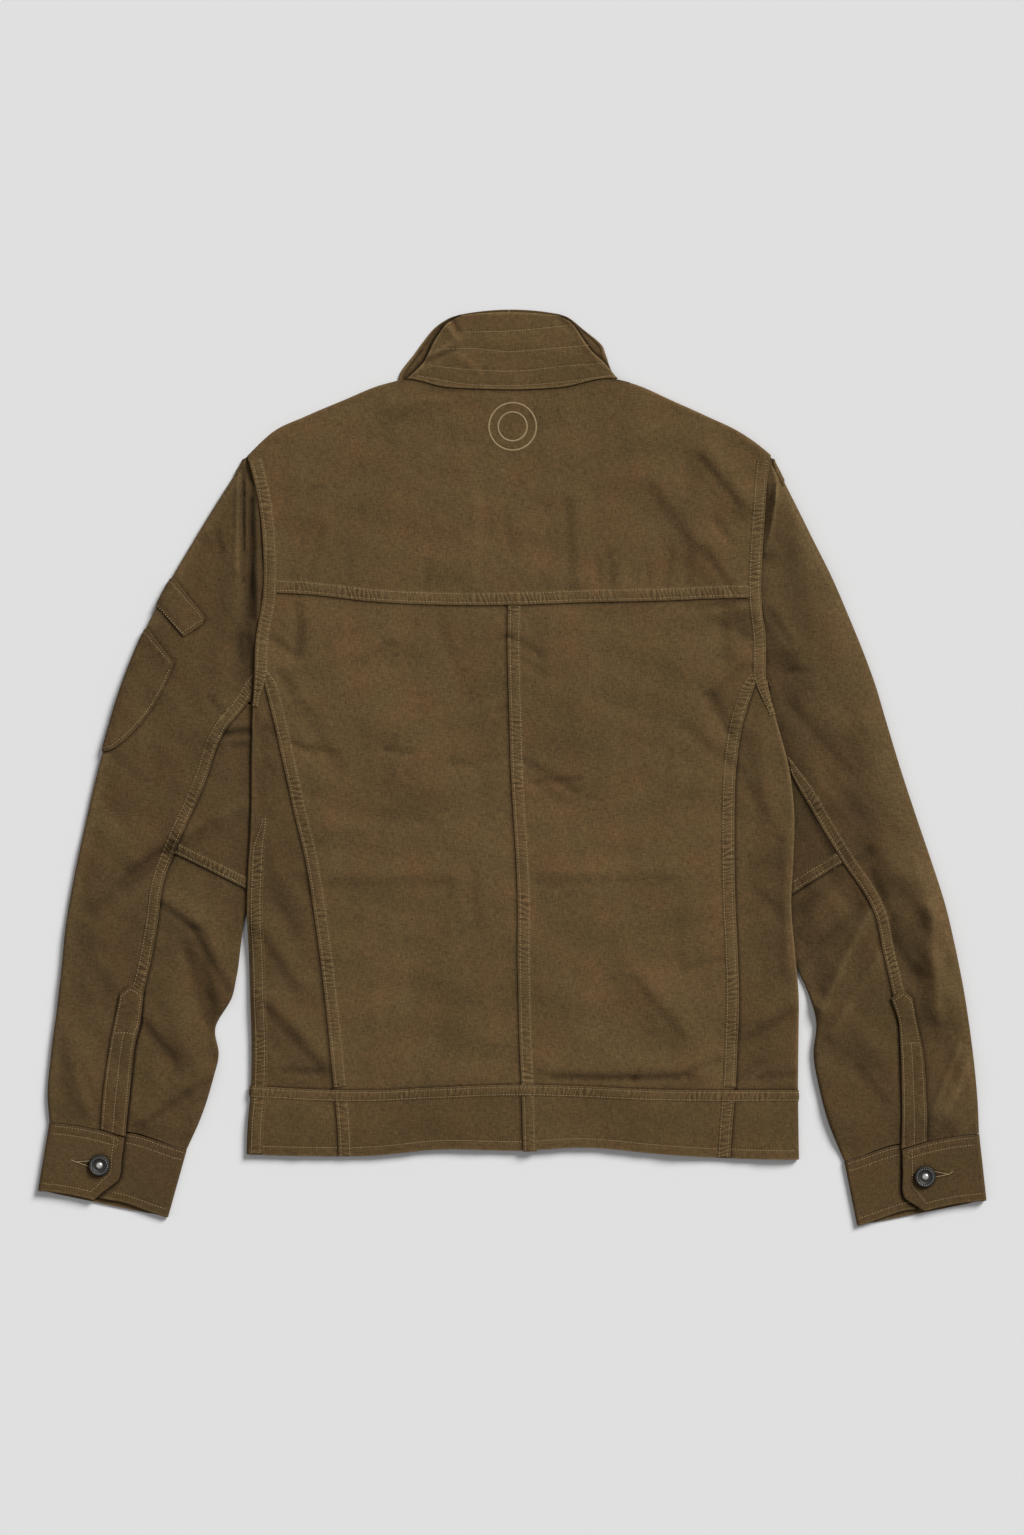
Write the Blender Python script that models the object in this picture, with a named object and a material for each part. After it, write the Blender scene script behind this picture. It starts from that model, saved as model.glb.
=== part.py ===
"""Field jacket of washed cotton canvas, lying flat on its front with its back up.

X runs across the jacket, Y from hem to collar, Z up. The origin is under the middle of its outline, on the
surface that it lies on. The tables and sizes below are in millimetres, and the finished meshes in metres.

The body and each sleeve are flattened tubes: a lower and an upper wall that lie on each other and turn
round a soft fold at each side. A place on a tube is (w, p). p is the row, and w runs along the ring from
the low edge: positive over the top, past the high edge and back underneath, negative underneath.
"""

import math
from collections import namedtuple

import bmesh
import bpy
import numpy as np

MM = 0.001

WALL = 1.2  # canvas, with the allowances that lie under it
BAND = 1.9  # hem band and cuffs: two plies and a stiffener
GAP = 0.3  # between neighbouring pieces
HALF = GAP / 2
LOFT = 6.0  # top of the cloth over the surface
THIN = 3.2  # a pressed edge: two walls with hardly any air between them
SEAM = 9.5  # width of a felled seam
STRIP = SEAM + 1.5  # the same with the step beside it
FELL = 0.6  # how far a felled seam stands over its panel
FADE = 4.0  # length over which it dies out at the ends of the panel
STEP = 17.0  # grid spacing of a top panel
FIRST_ROW = -263.0  # rows of every lengthwise panel lie a step apart from here, so that seams match
JUMPS = (57.0, 74.0)  # further rows, just below the left and the right underarm
YOKE_TURN = 28.0  # how far the yoke turns under the shoulder
SIDE_TURN = 30.0  # how far the right side panel turns under
LAP = 25.0  # the left front passes the centre line by this much

# Edges of the body where it lies flat. Above the underarm they are the armholes.
BodyRow = namedtuple("BodyRow", "y left right")
BODY = (
    BodyRow(-345, -231, 249.5), BodyRow(-310, -229.7, 249), BodyRow(-280, -227.2, 248.7),
    BodyRow(-240, -226.5, 249), BodyRow(-200, -227.6, 249.2), BodyRow(-160, -228.8, 245.8),
    BodyRow(-120, -230.4, 242.5), BodyRow(-80, -229, 244.3), BodyRow(-40, -226.8, 245.1),
    BodyRow(0, -226.4, 240.5), BodyRow(40, -225.6, 230), BodyRow(75, -224, 221),
    BodyRow(110, -222.9, 220.8), BodyRow(150, -216.6, 216.8), BodyRow(190, -216.4, 218),
    BodyRow(220, -219, 220), BodyRow(250, -224.5, 222.2), BodyRow(272, -230.6, 225),
)

# Lengthwise seams of the back: two princess seams and the centre seam.
SeamRow = namedtuple("SeamRow", "y left centre right")
SEAMS = (
    SeamRow(-345, -150.8, 9.4, 189.6), SeamRow(-310, -152.2, 8.5, 191.6),
    SeamRow(-280, -155, 7.7, 194.3), SeamRow(-240, -158.8, 6, 196.1), SeamRow(-200, -163, 5, 197.3),
    SeamRow(-160, -167.8, 4.3, 196.2), SeamRow(-120, -173.4, 4.5, 194.3),
    SeamRow(-80, -180, 3, 193.5), SeamRow(-40, -189.6, 0.5, 193.5), SeamRow(0, -198.5, -1.7, 195.1),
    SeamRow(40, -207.3, -2.8, 201.2), SeamRow(75, -216, -3.8, 212.5), SeamRow(98, -222, -4.4, 219.5),
    SeamRow(150, -222, -4, 219.5),
)
PRINCESS_TOP = 88  # row where the side panels run out into the armhole

# Crosswise edges of the body: the hem, its band and the yoke seam.
CrossColumn = namedtuple("CrossColumn", "x hem band yoke")
CROSS = (
    CrossColumn(-232, -336, -276, 151.6), CrossColumn(-180, -337.5, -279, 150),
    CrossColumn(-120, -337, -280, 143.5), CrossColumn(-65, -331.8, -277.5, 140.8),
    CrossColumn(8, -332.6, -275, 140.8), CrossColumn(62, -330, -276.5, 142.8),
    CrossColumn(127, -335.5, -279.5, 144.2), CrossColumn(180, -339, -280, 146.3),
    CrossColumn(250, -340.7, -280, 147.4),
)

# Top of the body: shoulder folds at the sides, and the neck seam between them.
ShoulderColumn = namedtuple("ShoulderColumn", "x top")
SHOULDER = (
    ShoulderColumn(-232, 269), ShoulderColumn(-208, 291.5), ShoulderColumn(-180, 305),
    ShoulderColumn(-147, 319), ShoulderColumn(-112, 333), ShoulderColumn(-93, 336.8),
    ShoulderColumn(-60, 330), ShoulderColumn(-26, 328), ShoulderColumn(7, 327.5),
    ShoulderColumn(40, 329.2), ShoulderColumn(93, 336.8), ShoulderColumn(107, 333),
    ShoulderColumn(139, 319), ShoulderColumn(170, 305), ShoulderColumn(198, 291.5),
    ShoulderColumn(226, 269),
)
NECK = 102  # half width of the neck, where the shoulder folds start
FRONT_NECK_HALF = 99.0
FRONT_NECK_TOP = 332.0
FRONT_NECK_DROP = 40.0  # how far the front neck dips below its ends
FRONT_GAP = 1.5  # between the fronts and the turned edge of the yoke

# A row of a sleeve: distances from the centre line of the outer fold, the back seam and the inner edge,
# at height y on the outer fold. The row falls by `drop` on its way to the inner edge.
SleeveRow = namedtuple("SleeveRow", "y outer seam inner drop")
LEFT_SLEEVE = (
    SleeveRow(266, 233.5, 228.5, 228.5, 0), SleeveRow(235, 253.4, 220.8, 220.8, 0),
    SleeveRow(200, 274.9, 216.8, 216.8, 0), SleeveRow(165, 295.4, 216.4, 216.4, 0),
    SleeveRow(130, 313.5, 220.2, 220.2, 0), SleeveRow(95, 329.2, 223.5, 223.5, 0),
    SleeveRow(60, 342, 228, 224.8, 0), SleeveRow(30, 351, 250, 217, 0),
    SleeveRow(-15, 363, 267, 218, 0), SleeveRow(-55, 372, 284.5, 219.5, 0),
    SleeveRow(-95, 380.5, 301, 223, 0), SleeveRow(-135, 387.5, 307.5, 233.5, 3),
    SleeveRow(-175, 391.6, 315.5, 239.3, 7), SleeveRow(-190, 393.3, 319.5, 243, 9),
    SleeveRow(-215, 396.2, 322.2, 258, 12), SleeveRow(-235, 399, 326.8, 255, 14.5),
    SleeveRow(-255, 401.3, 329.3, 260, 17), SleeveRow(-285, 403.7, 333, 271, 21),
    SleeveRow(-308, 402, 335.5, 282.8, 24),
)
RIGHT_SLEEVE = (
    SleeveRow(266, 229.5, 224.5, 224.5, 0), SleeveRow(235, 243.2, 221.2, 221.2, 0),
    SleeveRow(200, 260.6, 218.6, 218.6, 0), SleeveRow(165, 278, 217.6, 217.6, 0),
    SleeveRow(130, 293.2, 219.4, 219.4, 0), SleeveRow(95, 307.4, 221, 221, 0),
    SleeveRow(74, 315, 223.5, 221, 0), SleeveRow(40, 325.2, 228.5, 222, 0),
    SleeveRow(0, 337.3, 240, 231.5, 0), SleeveRow(-40, 350.4, 261.5, 236.5, 0),
    SleeveRow(-80, 364, 285.3, 236, 0), SleeveRow(-120, 376.7, 311.5, 235.5, 2),
    SleeveRow(-160, 386, 321.8, 244.5, 6), SleeveRow(-190, 392, 329.2, 258.5, 9),
    SleeveRow(-210, 395.3, 334.5, 264.3, 11), SleeveRow(-235, 398.9, 336.3, 262, 14),
    SleeveRow(-262, 402, 337, 267, 17), SleeveRow(-290, 404.6, 338.2, 275.5, 20.5),
    SleeveRow(-318, 406, 338, 288.8, 24),
)

# A fold is a soft ridge, or a trough where its height is negative, from (x0, y0) to (x1, y1).
Fold = namedtuple("Fold", "x0 y0 x1 y1 width height")
BODY_FOLDS = (
    Fold(172, 270, 203, 232, 12, 1.4), Fold(129, 244, 190, 160, 18, 1.4), Fold(53, 228, 57, 165, 16, 1.0),
    Fold(-104, 315, -60, 322, 12, 1.0), Fold(-165, 209, -176, 168, 12, 0.9),
    Fold(-126, 96, -104, 113, 12, 0.9), Fold(-203, 84, -190, 62, 12, 0.9),
    Fold(160, 130, 204, 138, 10, 1.3), Fold(201, 92, 178, 66, 12, 1.5), Fold(172, 60, 187, 30, 11, -1.0),
    Fold(-158, -96, -57, -94, 14, 0.7), Fold(24, -92, 135, -92, 14, 0.8),
    Fold(105, -177, 152, -231, 14, 1.0), Fold(33, -262, 160, -263, 13, 1.8),
    Fold(-217, -139, -187, -185, 12, 1.2), Fold(-210, -203, -163, -256, 13, 1.9),
    Fold(207, -229, 240, -206, 13, 1.8), Fold(236, -63, 237, -170, 12, 1.4),
)
LEFT_FOLDS = (
    Fold(-229, 250, -229, 80, 9, -1.3), Fold(-240, 240, -241, 120, 9, 0.8),
    Fold(-286, -57, -236, -33, 13, 1.7), Fold(-338, -104, -306, -80, 12, -1.2),
    Fold(-304, -116, -274, -136, 12, 1.6), Fold(-274, -136, -249, -188, 12, 1.6),
    Fold(-283, -162, -262, -228, 12, -1.3), Fold(-318, -305, -283, -281, 10, 1.3),
    Fold(-283, -281, -264, -268, 10, 1.3), Fold(-378, -255, -366, -294, 10, 0.9),
)
RIGHT_FOLDS = (
    Fold(229, 245, 228, 190, 9, 1.0), Fold(222, 137, 239, 110, 10, 0.8),
    Fold(242, 52, 291, -5, 12, -1.5), Fold(252, -172, 303, -122, 11, -1.6),
    Fold(270, -207, 309, -130, 12, 1.9), Fold(280, -231, 316, -178, 10, 1.4),
    Fold(370, -125, 374, -210, 10, 1.6), Fold(394, -255, 374, -300, 12, 1.7),
)

# Rows of the collar, from its neck edge to its top edge: the ends, and the height in the middle.
CollarRow = namedtuple("CollarRow", "left_x left_y right_x right_y middle")
COLLAR_BACK = (
    CollarRow(-91.5, 337.2, 92, 337.2, 328), CollarRow(-77, 352, 80.5, 351, 344.7),
    CollarRow(-68, 369.5, 68, 363, 362), CollarRow(-57, 385, 53, 384.5, 379.5),
    CollarRow(-43.6, 392.8, 41.8, 392.2, 395.5),
)
COLLAR_FRONT = (
    CollarRow(-99, 334, 93, 334, 297), CollarRow(-96.8, 344, 86, 346, 318),
    CollarRow(-85, 359.5, 81.5, 359, 342), CollarRow(-77, 370.5, 77, 368.5, 364),
    CollarRow(-67.5, 382, 62, 381, 383), CollarRow(-56, 390, 50, 390.6, 394),
    CollarRow(-46, 393.6, 41, 394.2, 398.2),
)
COLLAR_WALL = 2.2
COLLAR_LIFT = 3.2  # underside of the back of the collar, over the surface
COLLAR_CROWN = 0.8

# A cuff: its corners at the seam and at the open edge, and the end of its tab as shares of its width.
CuffShape = namedtuple("CuffShape", "side outer_seam inner_seam outer_edge inner_edge tab button")
TabRow = namedtuple("TabRow", "down across")
LEFT_CUFF = CuffShape(
    -1, (402, -308.4), (282.7, -332.4), (412, -367.5), (299, -391),
    (TabRow(0, 0.55), TabRow(0.25, 0.56), TabRow(0.5, 0.58), TabRow(0.75, 0.6), TabRow(1, 0.43)),
    (-357.9, -345.2),
)
RIGHT_CUFF = CuffShape(
    1, (406, -318.4), (288.8, -342.4), (412.4, -376), (300, -398.3),
    (TabRow(0, 0.58), TabRow(0.25, 0.59), TabRow(0.5, 0.6), TabRow(0.75, 0.62), TabRow(1, 0.47)),
    (358.4, -355),
)
UNDER_TAB = 0.2  # the lower end of the cuff stops at this share of its width
CUFF_TOP = 6.9
CUFF_LOW_TOP = 4.7
BUTTON_RADIUS = 9.0
BUTTON_SIDES = 20

PLACKET_WALL = 1.0
PATCH_WALL = 1.0
PATCH_UNDER = 26.0  # how far the pocket and its flap turn under the outer fold
PATCH_LIFT = 1.6  # the sleeve's underside is raised this much where they turn under

CANVAS = "5D4A31"
CANVAS_SHADE = "554430"
GUNMETAL = "4A4B4D"


# --- Curves and surfaces ------------------------------------------------------------------------------


def curve(rows, key, column, at):
    """A smooth line through one column of a table, read at the key values `at`."""
    rows = sorted(rows, key=lambda row: getattr(row, key))
    x = np.array([getattr(row, key) for row in rows], float)
    y = np.array([getattr(row, column) for row in rows], float)
    slope = np.gradient(y, x)
    at = np.clip(np.asarray(at, float), x[0], x[-1])
    i = np.clip(np.searchsorted(x, at) - 1, 0, len(x) - 2)
    h = x[i + 1] - x[i]
    t = (at - x[i]) / h
    return (
        (1 + 2 * t) * (1 - t) ** 2 * y[i]
        + t * (1 - t) ** 2 * h * slope[i]
        + t**2 * (3 - 2 * t) * y[i + 1]
        + t**2 * (t - 1) * h * slope[i + 1]
    )


def rise(value, start, end):
    """0 before start and 1 past end, with a soft step between them; end may lie below start."""
    t = np.clip((np.asarray(value, float) - start) / (end - start), 0, 1)
    return t * t * (3 - 2 * t)


def fold_height(folds, x, y):
    total = np.zeros(np.broadcast(x, y).shape)
    for fold in folds:
        along_x = fold.x1 - fold.x0
        along_y = fold.y1 - fold.y0
        t = ((x - fold.x0) * along_x + (y - fold.y0) * along_y) / (along_x**2 + along_y**2)
        t = np.clip(t, 0, 1)
        away = np.hypot(x - fold.x0 - t * along_x, y - fold.y0 - t * along_y)
        total += fold.height * np.exp(-((away / fold.width) ** 2))
    return total


class Tube:
    """A flattened tube of cloth. Its subclasses say where its edges lie and how high its walls stand."""

    def edge(self, end, p):
        return self.high(p) if end else self.low(p)

    def nose(self, end, p):
        """Half height of the side fold and its reach along the row: none above an open armhole."""
        inward = -3.0 if end else 3.0
        at = self.edge(end, p) + inward
        top = self.top(at, p)
        under = self.under(at, p)
        slant = (self.edge(end, p + 1) - self.edge(end, p - 1)) / 2
        half = np.where(self.folded(end, p), (top - under) / 2, 0.0)
        return half, half * np.hypot(1, slant), (top + under) / 2, slant

    def ring(self, w, p):
        """Outer points and outward normals at ring places w on rows p, both arrays of one shape."""
        w, p = np.broadcast_arrays(np.asarray(w, float), np.asarray(p, float))
        low = self.low(p)
        high = self.high(p)
        width = high - low
        over = (w >= 0) & (w <= width)
        a = np.where(w > width, high - (w - width), low + np.abs(w))

        def height(across, along):
            return np.where(over, self.top(across, along), self.under(across, along))

        sheet = height(a, p)
        slope_a = (height(a + 1, p) - height(a - 1, p)) / 2
        slope_p = (height(a, p + 1) - height(a, p - 1)) / 2
        sign = np.where(over, 1.0, -1.0)
        normal = np.stack([-sign * slope_a, -sign * slope_p, sign], -1)
        for end in (0, 1):
            half, reach, middle, slant = self.nose(end, p)
            away = w - width if end else -w
            inside = np.abs(away) < reach
            turn = away / np.where(reach > 0, reach, 1) * math.pi / 2
            out = 1.0 if end else -1.0
            a = np.where(inside, self.edge(end, p) - out * reach * (1 - np.cos(turn)), a)
            sheet = np.where(inside, middle - half * np.sin(turn), sheet)
            long = np.hypot(1, slant)
            folded = np.stack(
                [out * np.cos(turn) / long, -out * slant * np.cos(turn) / long, -np.sin(turn)], -1
            )
            normal = np.where(inside[..., None], folded, normal)
        normal = normal / np.linalg.norm(normal, axis=-1, keepdims=True)
        x, y = self.place(a, p)
        normal[..., 0] *= self.side
        return np.stack([x, y, sheet], -1), normal


class Body(Tube):
    side = 1.0
    underarm = (58.5, 75.5)  # rows of the left and the right underarm
    clear = (-134.0, -178.0)  # the sleeves leave the body's edge below these rows

    def low(self, p):
        return curve(BODY, "y", "left", p)

    def high(self, p):
        return curve(BODY, "y", "right", p)

    def folded(self, end, p):
        return np.asarray(p) < self.underarm[end]

    def over_sleeve(self, end, p):
        """1 on the rows where the edge of the body lies on the sleeve."""
        arm = self.underarm[end]
        off = self.clear[end]
        return rise(p, arm + 36, arm + 2) * rise(p, off - 34, off)

    def place(self, a, p):
        return a, p

    def bare(self, w, p):
        return 1.0

    def under(self, a, p):
        lift = THIN + GAP
        left = self.over_sleeve(0, p) * rise(a - self.low(p), 30, 13)
        right = self.over_sleeve(1, p) * rise(self.high(p) - a, 32, 15)
        return lift * (left + right)

    def top(self, a, p):
        over = THIN + GAP + THIN - LOFT
        left = self.over_sleeve(0, p) * rise(a - self.low(p), 42, 12)
        right = self.over_sleeve(1, p) * rise(self.high(p) - a, 42, 12)
        return LOFT + over * (left + right) + fold_height(BODY_FOLDS, a, p)


class Sleeve(Tube):
    def __init__(self, side, rows, folds, underarm, clear, patched):
        self.side = side
        self.rows = rows
        self.folds = folds
        self.underarm = underarm
        self.clear = clear
        self.patched = patched

    def low(self, p):
        armhole = self.side * body.edge(self.side > 0, p)
        return np.where(np.asarray(p) > self.underarm, armhole, curve(self.rows, "y", "inner", p))

    def high(self, p):
        return curve(self.rows, "y", "outer", p)

    def seam(self, p):
        return curve(self.rows, "y", "seam", p)

    def folded(self, end, p):
        return np.full(np.shape(p), True) if end else np.asarray(p) < self.underarm

    def place(self, a, p):
        share = (self.high(p) - a) / (self.high(p) - self.low(p))
        return self.side * a, p - curve(self.rows, "y", "drop", p) * share

    def under(self, a, p):
        if not self.patched:
            return np.zeros(np.broadcast(a, p).shape)
        along = rise(p, -25, 5) * rise(p, 200, 172)
        return PATCH_LIFT * along * rise(self.high(p) - a, 70, 42)

    def top(self, a, p):
        tip = THIN + (LOFT - THIN) * rise(p, 266, 225)
        arm = THIN + (LOFT - 1 - THIN) * rise(p, self.underarm + 2, self.underarm + 36)
        freed = LOFT - (LOFT - THIN) * rise(p, self.clear - 40, self.clear)
        inner = np.where(np.asarray(p) > self.underarm, arm, freed)
        away = rise(a - self.low(p), 11, 32)
        height = np.minimum(tip, inner + (LOFT - inner) * away)
        x, y = self.place(a, p)
        return height + fold_height(self.folds, x, y) * rise(p, 262, 240) * self.bare(a - self.low(p), p)

    def bare(self, w, p):
        """0 where the body lies on the sleeve, and 1 on the rest of it."""
        covered = rise(p, self.clear - 20, self.clear) * (np.asarray(p) < self.underarm)
        return 1 - covered * (1 - rise(w, 12, 24))


body = Body()
left_sleeve = Sleeve(-1.0, LEFT_SLEEVE, LEFT_FOLDS, 58.5, -140.0, True)
right_sleeve = Sleeve(1.0, RIGHT_SLEEVE, RIGHT_FOLDS, 75.5, -180.0, False)


# --- Building solids ----------------------------------------------------------------------------------


def linear(code):
    """The linear colour of an sRGB hex code."""
    parts = [int(code[i : i + 2], 16) / 255 for i in (0, 2, 4)]
    return [c / 12.92 if c <= 0.04045 else ((c + 0.055) / 1.055) ** 2.4 for c in parts] + [1.0]


def finish_object(name, mesh, code, metallic=0.0, roughness=0.9):
    material = bpy.data.materials.new(name)
    material.use_nodes = True
    shader = material.node_tree.nodes["Principled BSDF"]
    shader.inputs["Base Color"].default_value = linear(code)
    shader.inputs["Metallic"].default_value = metallic
    shader.inputs["Roughness"].default_value = roughness
    mesh.materials.append(material)
    obj = bpy.data.objects.new(name, mesh)
    bpy.context.scene.collection.objects.link(obj)
    return obj


def cloth(name, outer, normal, wall=WALL, code=CANVAS, keep=None):
    """A closed sheet: a grid of outer points, the same grid one wall inwards, and a rim round both."""
    inner = outer - wall * normal
    columns, rows = outer.shape[:2]
    if keep is None:
        keep = np.full((columns - 1, rows - 1), True)
    middle = (columns // 2, rows // 2)
    across = outer[middle[0], middle[1]] - outer[middle[0] - 1, middle[1]]
    along = outer[middle[0], middle[1]] - outer[middle[0], middle[1] - 1]
    if np.dot(np.cross(across, along), normal[middle]) < 0:
        outer, inner, keep = outer[::-1], inner[::-1], keep[::-1]
    mesh = bpy.data.meshes.new(name)
    bm = bmesh.new()
    corners = np.zeros((columns, rows), bool)
    for i, j in np.argwhere(keep):
        corners[i : i + 2, j : j + 2] = True
    made = {}
    for i, j in np.argwhere(corners):
        made[0, i, j] = bm.verts.new(outer[i, j] * MM)
        made[1, i, j] = bm.verts.new(inner[i, j] * MM)
    rims = {}
    for i, j in np.argwhere(keep):
        loop = [(i, j), (i + 1, j), (i + 1, j + 1), (i, j + 1)]
        bm.faces.new([made[0, *c] for c in loop])
        bm.faces.new([made[1, *c] for c in reversed(loop)])
        for start, end in zip(loop, loop[1:] + loop[:1]):
            if rims.pop((end, start), None) is None:
                rims[start, end] = True
    for start, end in rims:
        bm.faces.new([made[0, *end], made[0, *start], made[1, *start], made[1, *end]])
    bm.to_mesh(mesh)
    bm.free()
    mesh.shade_smooth()
    mesh.set_sharp_from_angle(angle=math.radians(40))
    return finish_object(name, mesh, code)


# A station is a line along a panel: its ring place on row p, the number of steps to the next station, and
# whether the cloth from it to the next is raised by a felled seam.
Station = namedtuple("Station", "at steps raised", defaults=(1, False))
# A border ends a panel across its rows: the row near it, and its row at a place across.
Border = namedtuple("Border", "near at")


def level(row):
    return Border(row, lambda a: np.full(np.shape(a), float(row)))


def cross_border(column, near, shift):
    return Border(near, lambda a: curve(CROSS, "x", column, a) + shift)


def shared_rows(first, last):
    rows = [FIRST_ROW + STEP * k for k in range(40)] + list(JUMPS)
    return sorted(row for row in rows if first <= row <= last)


def panel_grid(tube, stations, lower, upper, rows):
    """Outer points and normals of a panel between its stations and its two borders.

    rows is a number of even steps, or (steps, first, last, steps): shared rows between even steps to the
    borders.
    """
    points, normals = [], []
    for k, station in enumerate(stations):
        steps = station.steps if k < len(stations) - 1 else 1
        after = stations[min(k + 1, len(stations) - 1)]
        for j in range(steps):
            share = j / steps

            def place(p, one=station, two=after, share=share):
                return (1 - share) * one.at(p) + share * two.at(p)

            ends = []
            for border in (lower, upper):
                p = np.array(float(border.near))
                for _ in range(3):
                    w = place(p)
                    width = tube.high(p) - tube.low(p)
                    a = np.where(w > width, tube.high(p) - (w - width), tube.low(p) + np.abs(w))
                    p = border.at(a)
                ends.append(float(p))
            if isinstance(rows, int):
                p = np.linspace(ends[0], ends[1], rows + 1)
            else:
                fixed = shared_rows(rows[1], rows[2])
                foot = np.linspace(ends[0], fixed[0], rows[0] + 1)[:-1]
                head = np.linspace(fixed[-1], ends[1], rows[3] + 1)[1:]
                p = np.concatenate([foot, fixed, head])
            at, out = tube.ring(place(p), p)
            if station.raised:
                fade = rise(p, ends[0], ends[0] + FADE) * rise(p, ends[1], ends[1] - FADE)
                at = at + FELL * (fade * tube.bare(place(p), p))[:, None] * out
            points.append(at)
            normals.append(out)
    return np.array(points), np.array(normals)


def panel(name, tube, stations, lower, upper, rows, wall=WALL, code=CANVAS):
    outer, normal = panel_grid(tube, stations, lower, upper, rows)
    return cloth(name, outer, normal, wall, code)


# --- Body ---------------------------------------------------------------------------------------------


def back_seam(column, shift=0.0):
    """Ring place of a lengthwise seam of the back."""
    return lambda p: curve(SEAMS, "y", column, p) + shift - body.low(p)


def left_side_seam(shift):
    """The left side seam, just under the edge fold from the underarm down."""
    return lambda p: np.where(np.asarray(p) < body.underarm[0], -5.0, 0.0) + shift


def right_side_seam(shift, side):
    """The right side seam, underneath: from the underarm it runs in to the side turn.

    side is -1 for the panel that comes over the edge and 1 for the front, which beside the armhole
    end on top of the edge and underneath it.
    """

    def at(p):
        width = body.high(p) - body.low(p)
        turned = 5.0 + (SIDE_TURN - 5.0) * rise(p, body.underarm[1], 10) + shift
        return width + np.where(np.asarray(p) < body.underarm[1], turned, abs(shift) * side)

    return at


def past(base, least):
    """A station at `least` along the ring, or just past the one before it where that lies further on."""
    return lambda p: np.maximum(base(p) + 0.5, least(p))


def low_nose(share):
    return lambda p: share * np.maximum(body.nose(0, p)[1], 0.5)


def high_nose(share):
    """A line round the right fold; beside the open armhole it keeps just inside the edge."""

    def at(p):
        width = body.high(p) - body.low(p)
        inside = width - HALF - 0.5 * (2 - share)
        return np.where(body.folded(1, p), width + share * body.nose(1, p)[1], inside)

    return at


def build_back():
    band = cross_border("band", -278, HALF)
    yoke = cross_border("yoke", 145, -HALF)
    tip = level(PRINCESS_TOP)
    rows = (1, FIRST_ROW, 128, 1)
    side_rows = (1, FIRST_ROW, 77, 1)

    def armhole_or_princess(end, shift):
        column = "right" if end else "left"

        def at(p):
            edge = body.edge(end, p) + shift
            line = curve(SEAMS, "y", column, p) + shift
            inner = np.minimum(edge, line) if end else np.maximum(edge, line)
            return inner - body.low(p)

        return at

    left = armhole_or_princess(0, HALF)
    panel(
        "back_left", body,
        [
            Station(left, 1, True), Station(lambda p: left(p) + SEAM, 1, True),
            Station(lambda p: left(p) + STRIP, 9), Station(back_seam("centre", -HALF)),
        ],
        band, yoke, rows,
    )
    centre = back_seam("centre", HALF)
    right = armhole_or_princess(1, -HALF)
    panel(
        "back_right", body,
        [
            Station(centre, 1, True), Station(lambda p: centre(p) + SEAM, 1, True),
            Station(lambda p: centre(p) + STRIP, 10), Station(lambda p: right(p) - STRIP, 1),
            Station(lambda p: right(p) - SEAM, 1, True), Station(right, 1, True),
        ],
        band, yoke, rows,
    )
    seam = left_side_seam(HALF)
    inside = past(seam, low_nose(-1.0))
    middle = past(inside, low_nose(0.0))
    outside = past(middle, low_nose(1.0))
    panel(
        "back_side_left", body,
        [
            Station(seam), Station(inside), Station(middle), Station(outside, 3),
            Station(back_seam("left", -HALF)),
        ],
        band, tip, side_rows,
    )
    panel(
        "back_side_right", body,
        [
            Station(back_seam("right", HALF), 3), Station(high_nose(-1.0)), Station(high_nose(0.0)),
            Station(high_nose(1.0), 2), Station(right_side_seam(-HALF, -1)),
        ],
        band, tip, side_rows,
    )


def shoulder_top(x):
    return curve(SHOULDER, "x", "top", x)


def shoulder_slope(x):
    return (shoulder_top(x + 1) - shoulder_top(x - 1)) / 2


def turned_edge(x, depth):
    """Row of the yoke's lower edge, where it is turned under the shoulder by a depth."""
    return shoulder_top(x) - depth * np.hypot(1, shoulder_slope(x))


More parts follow.
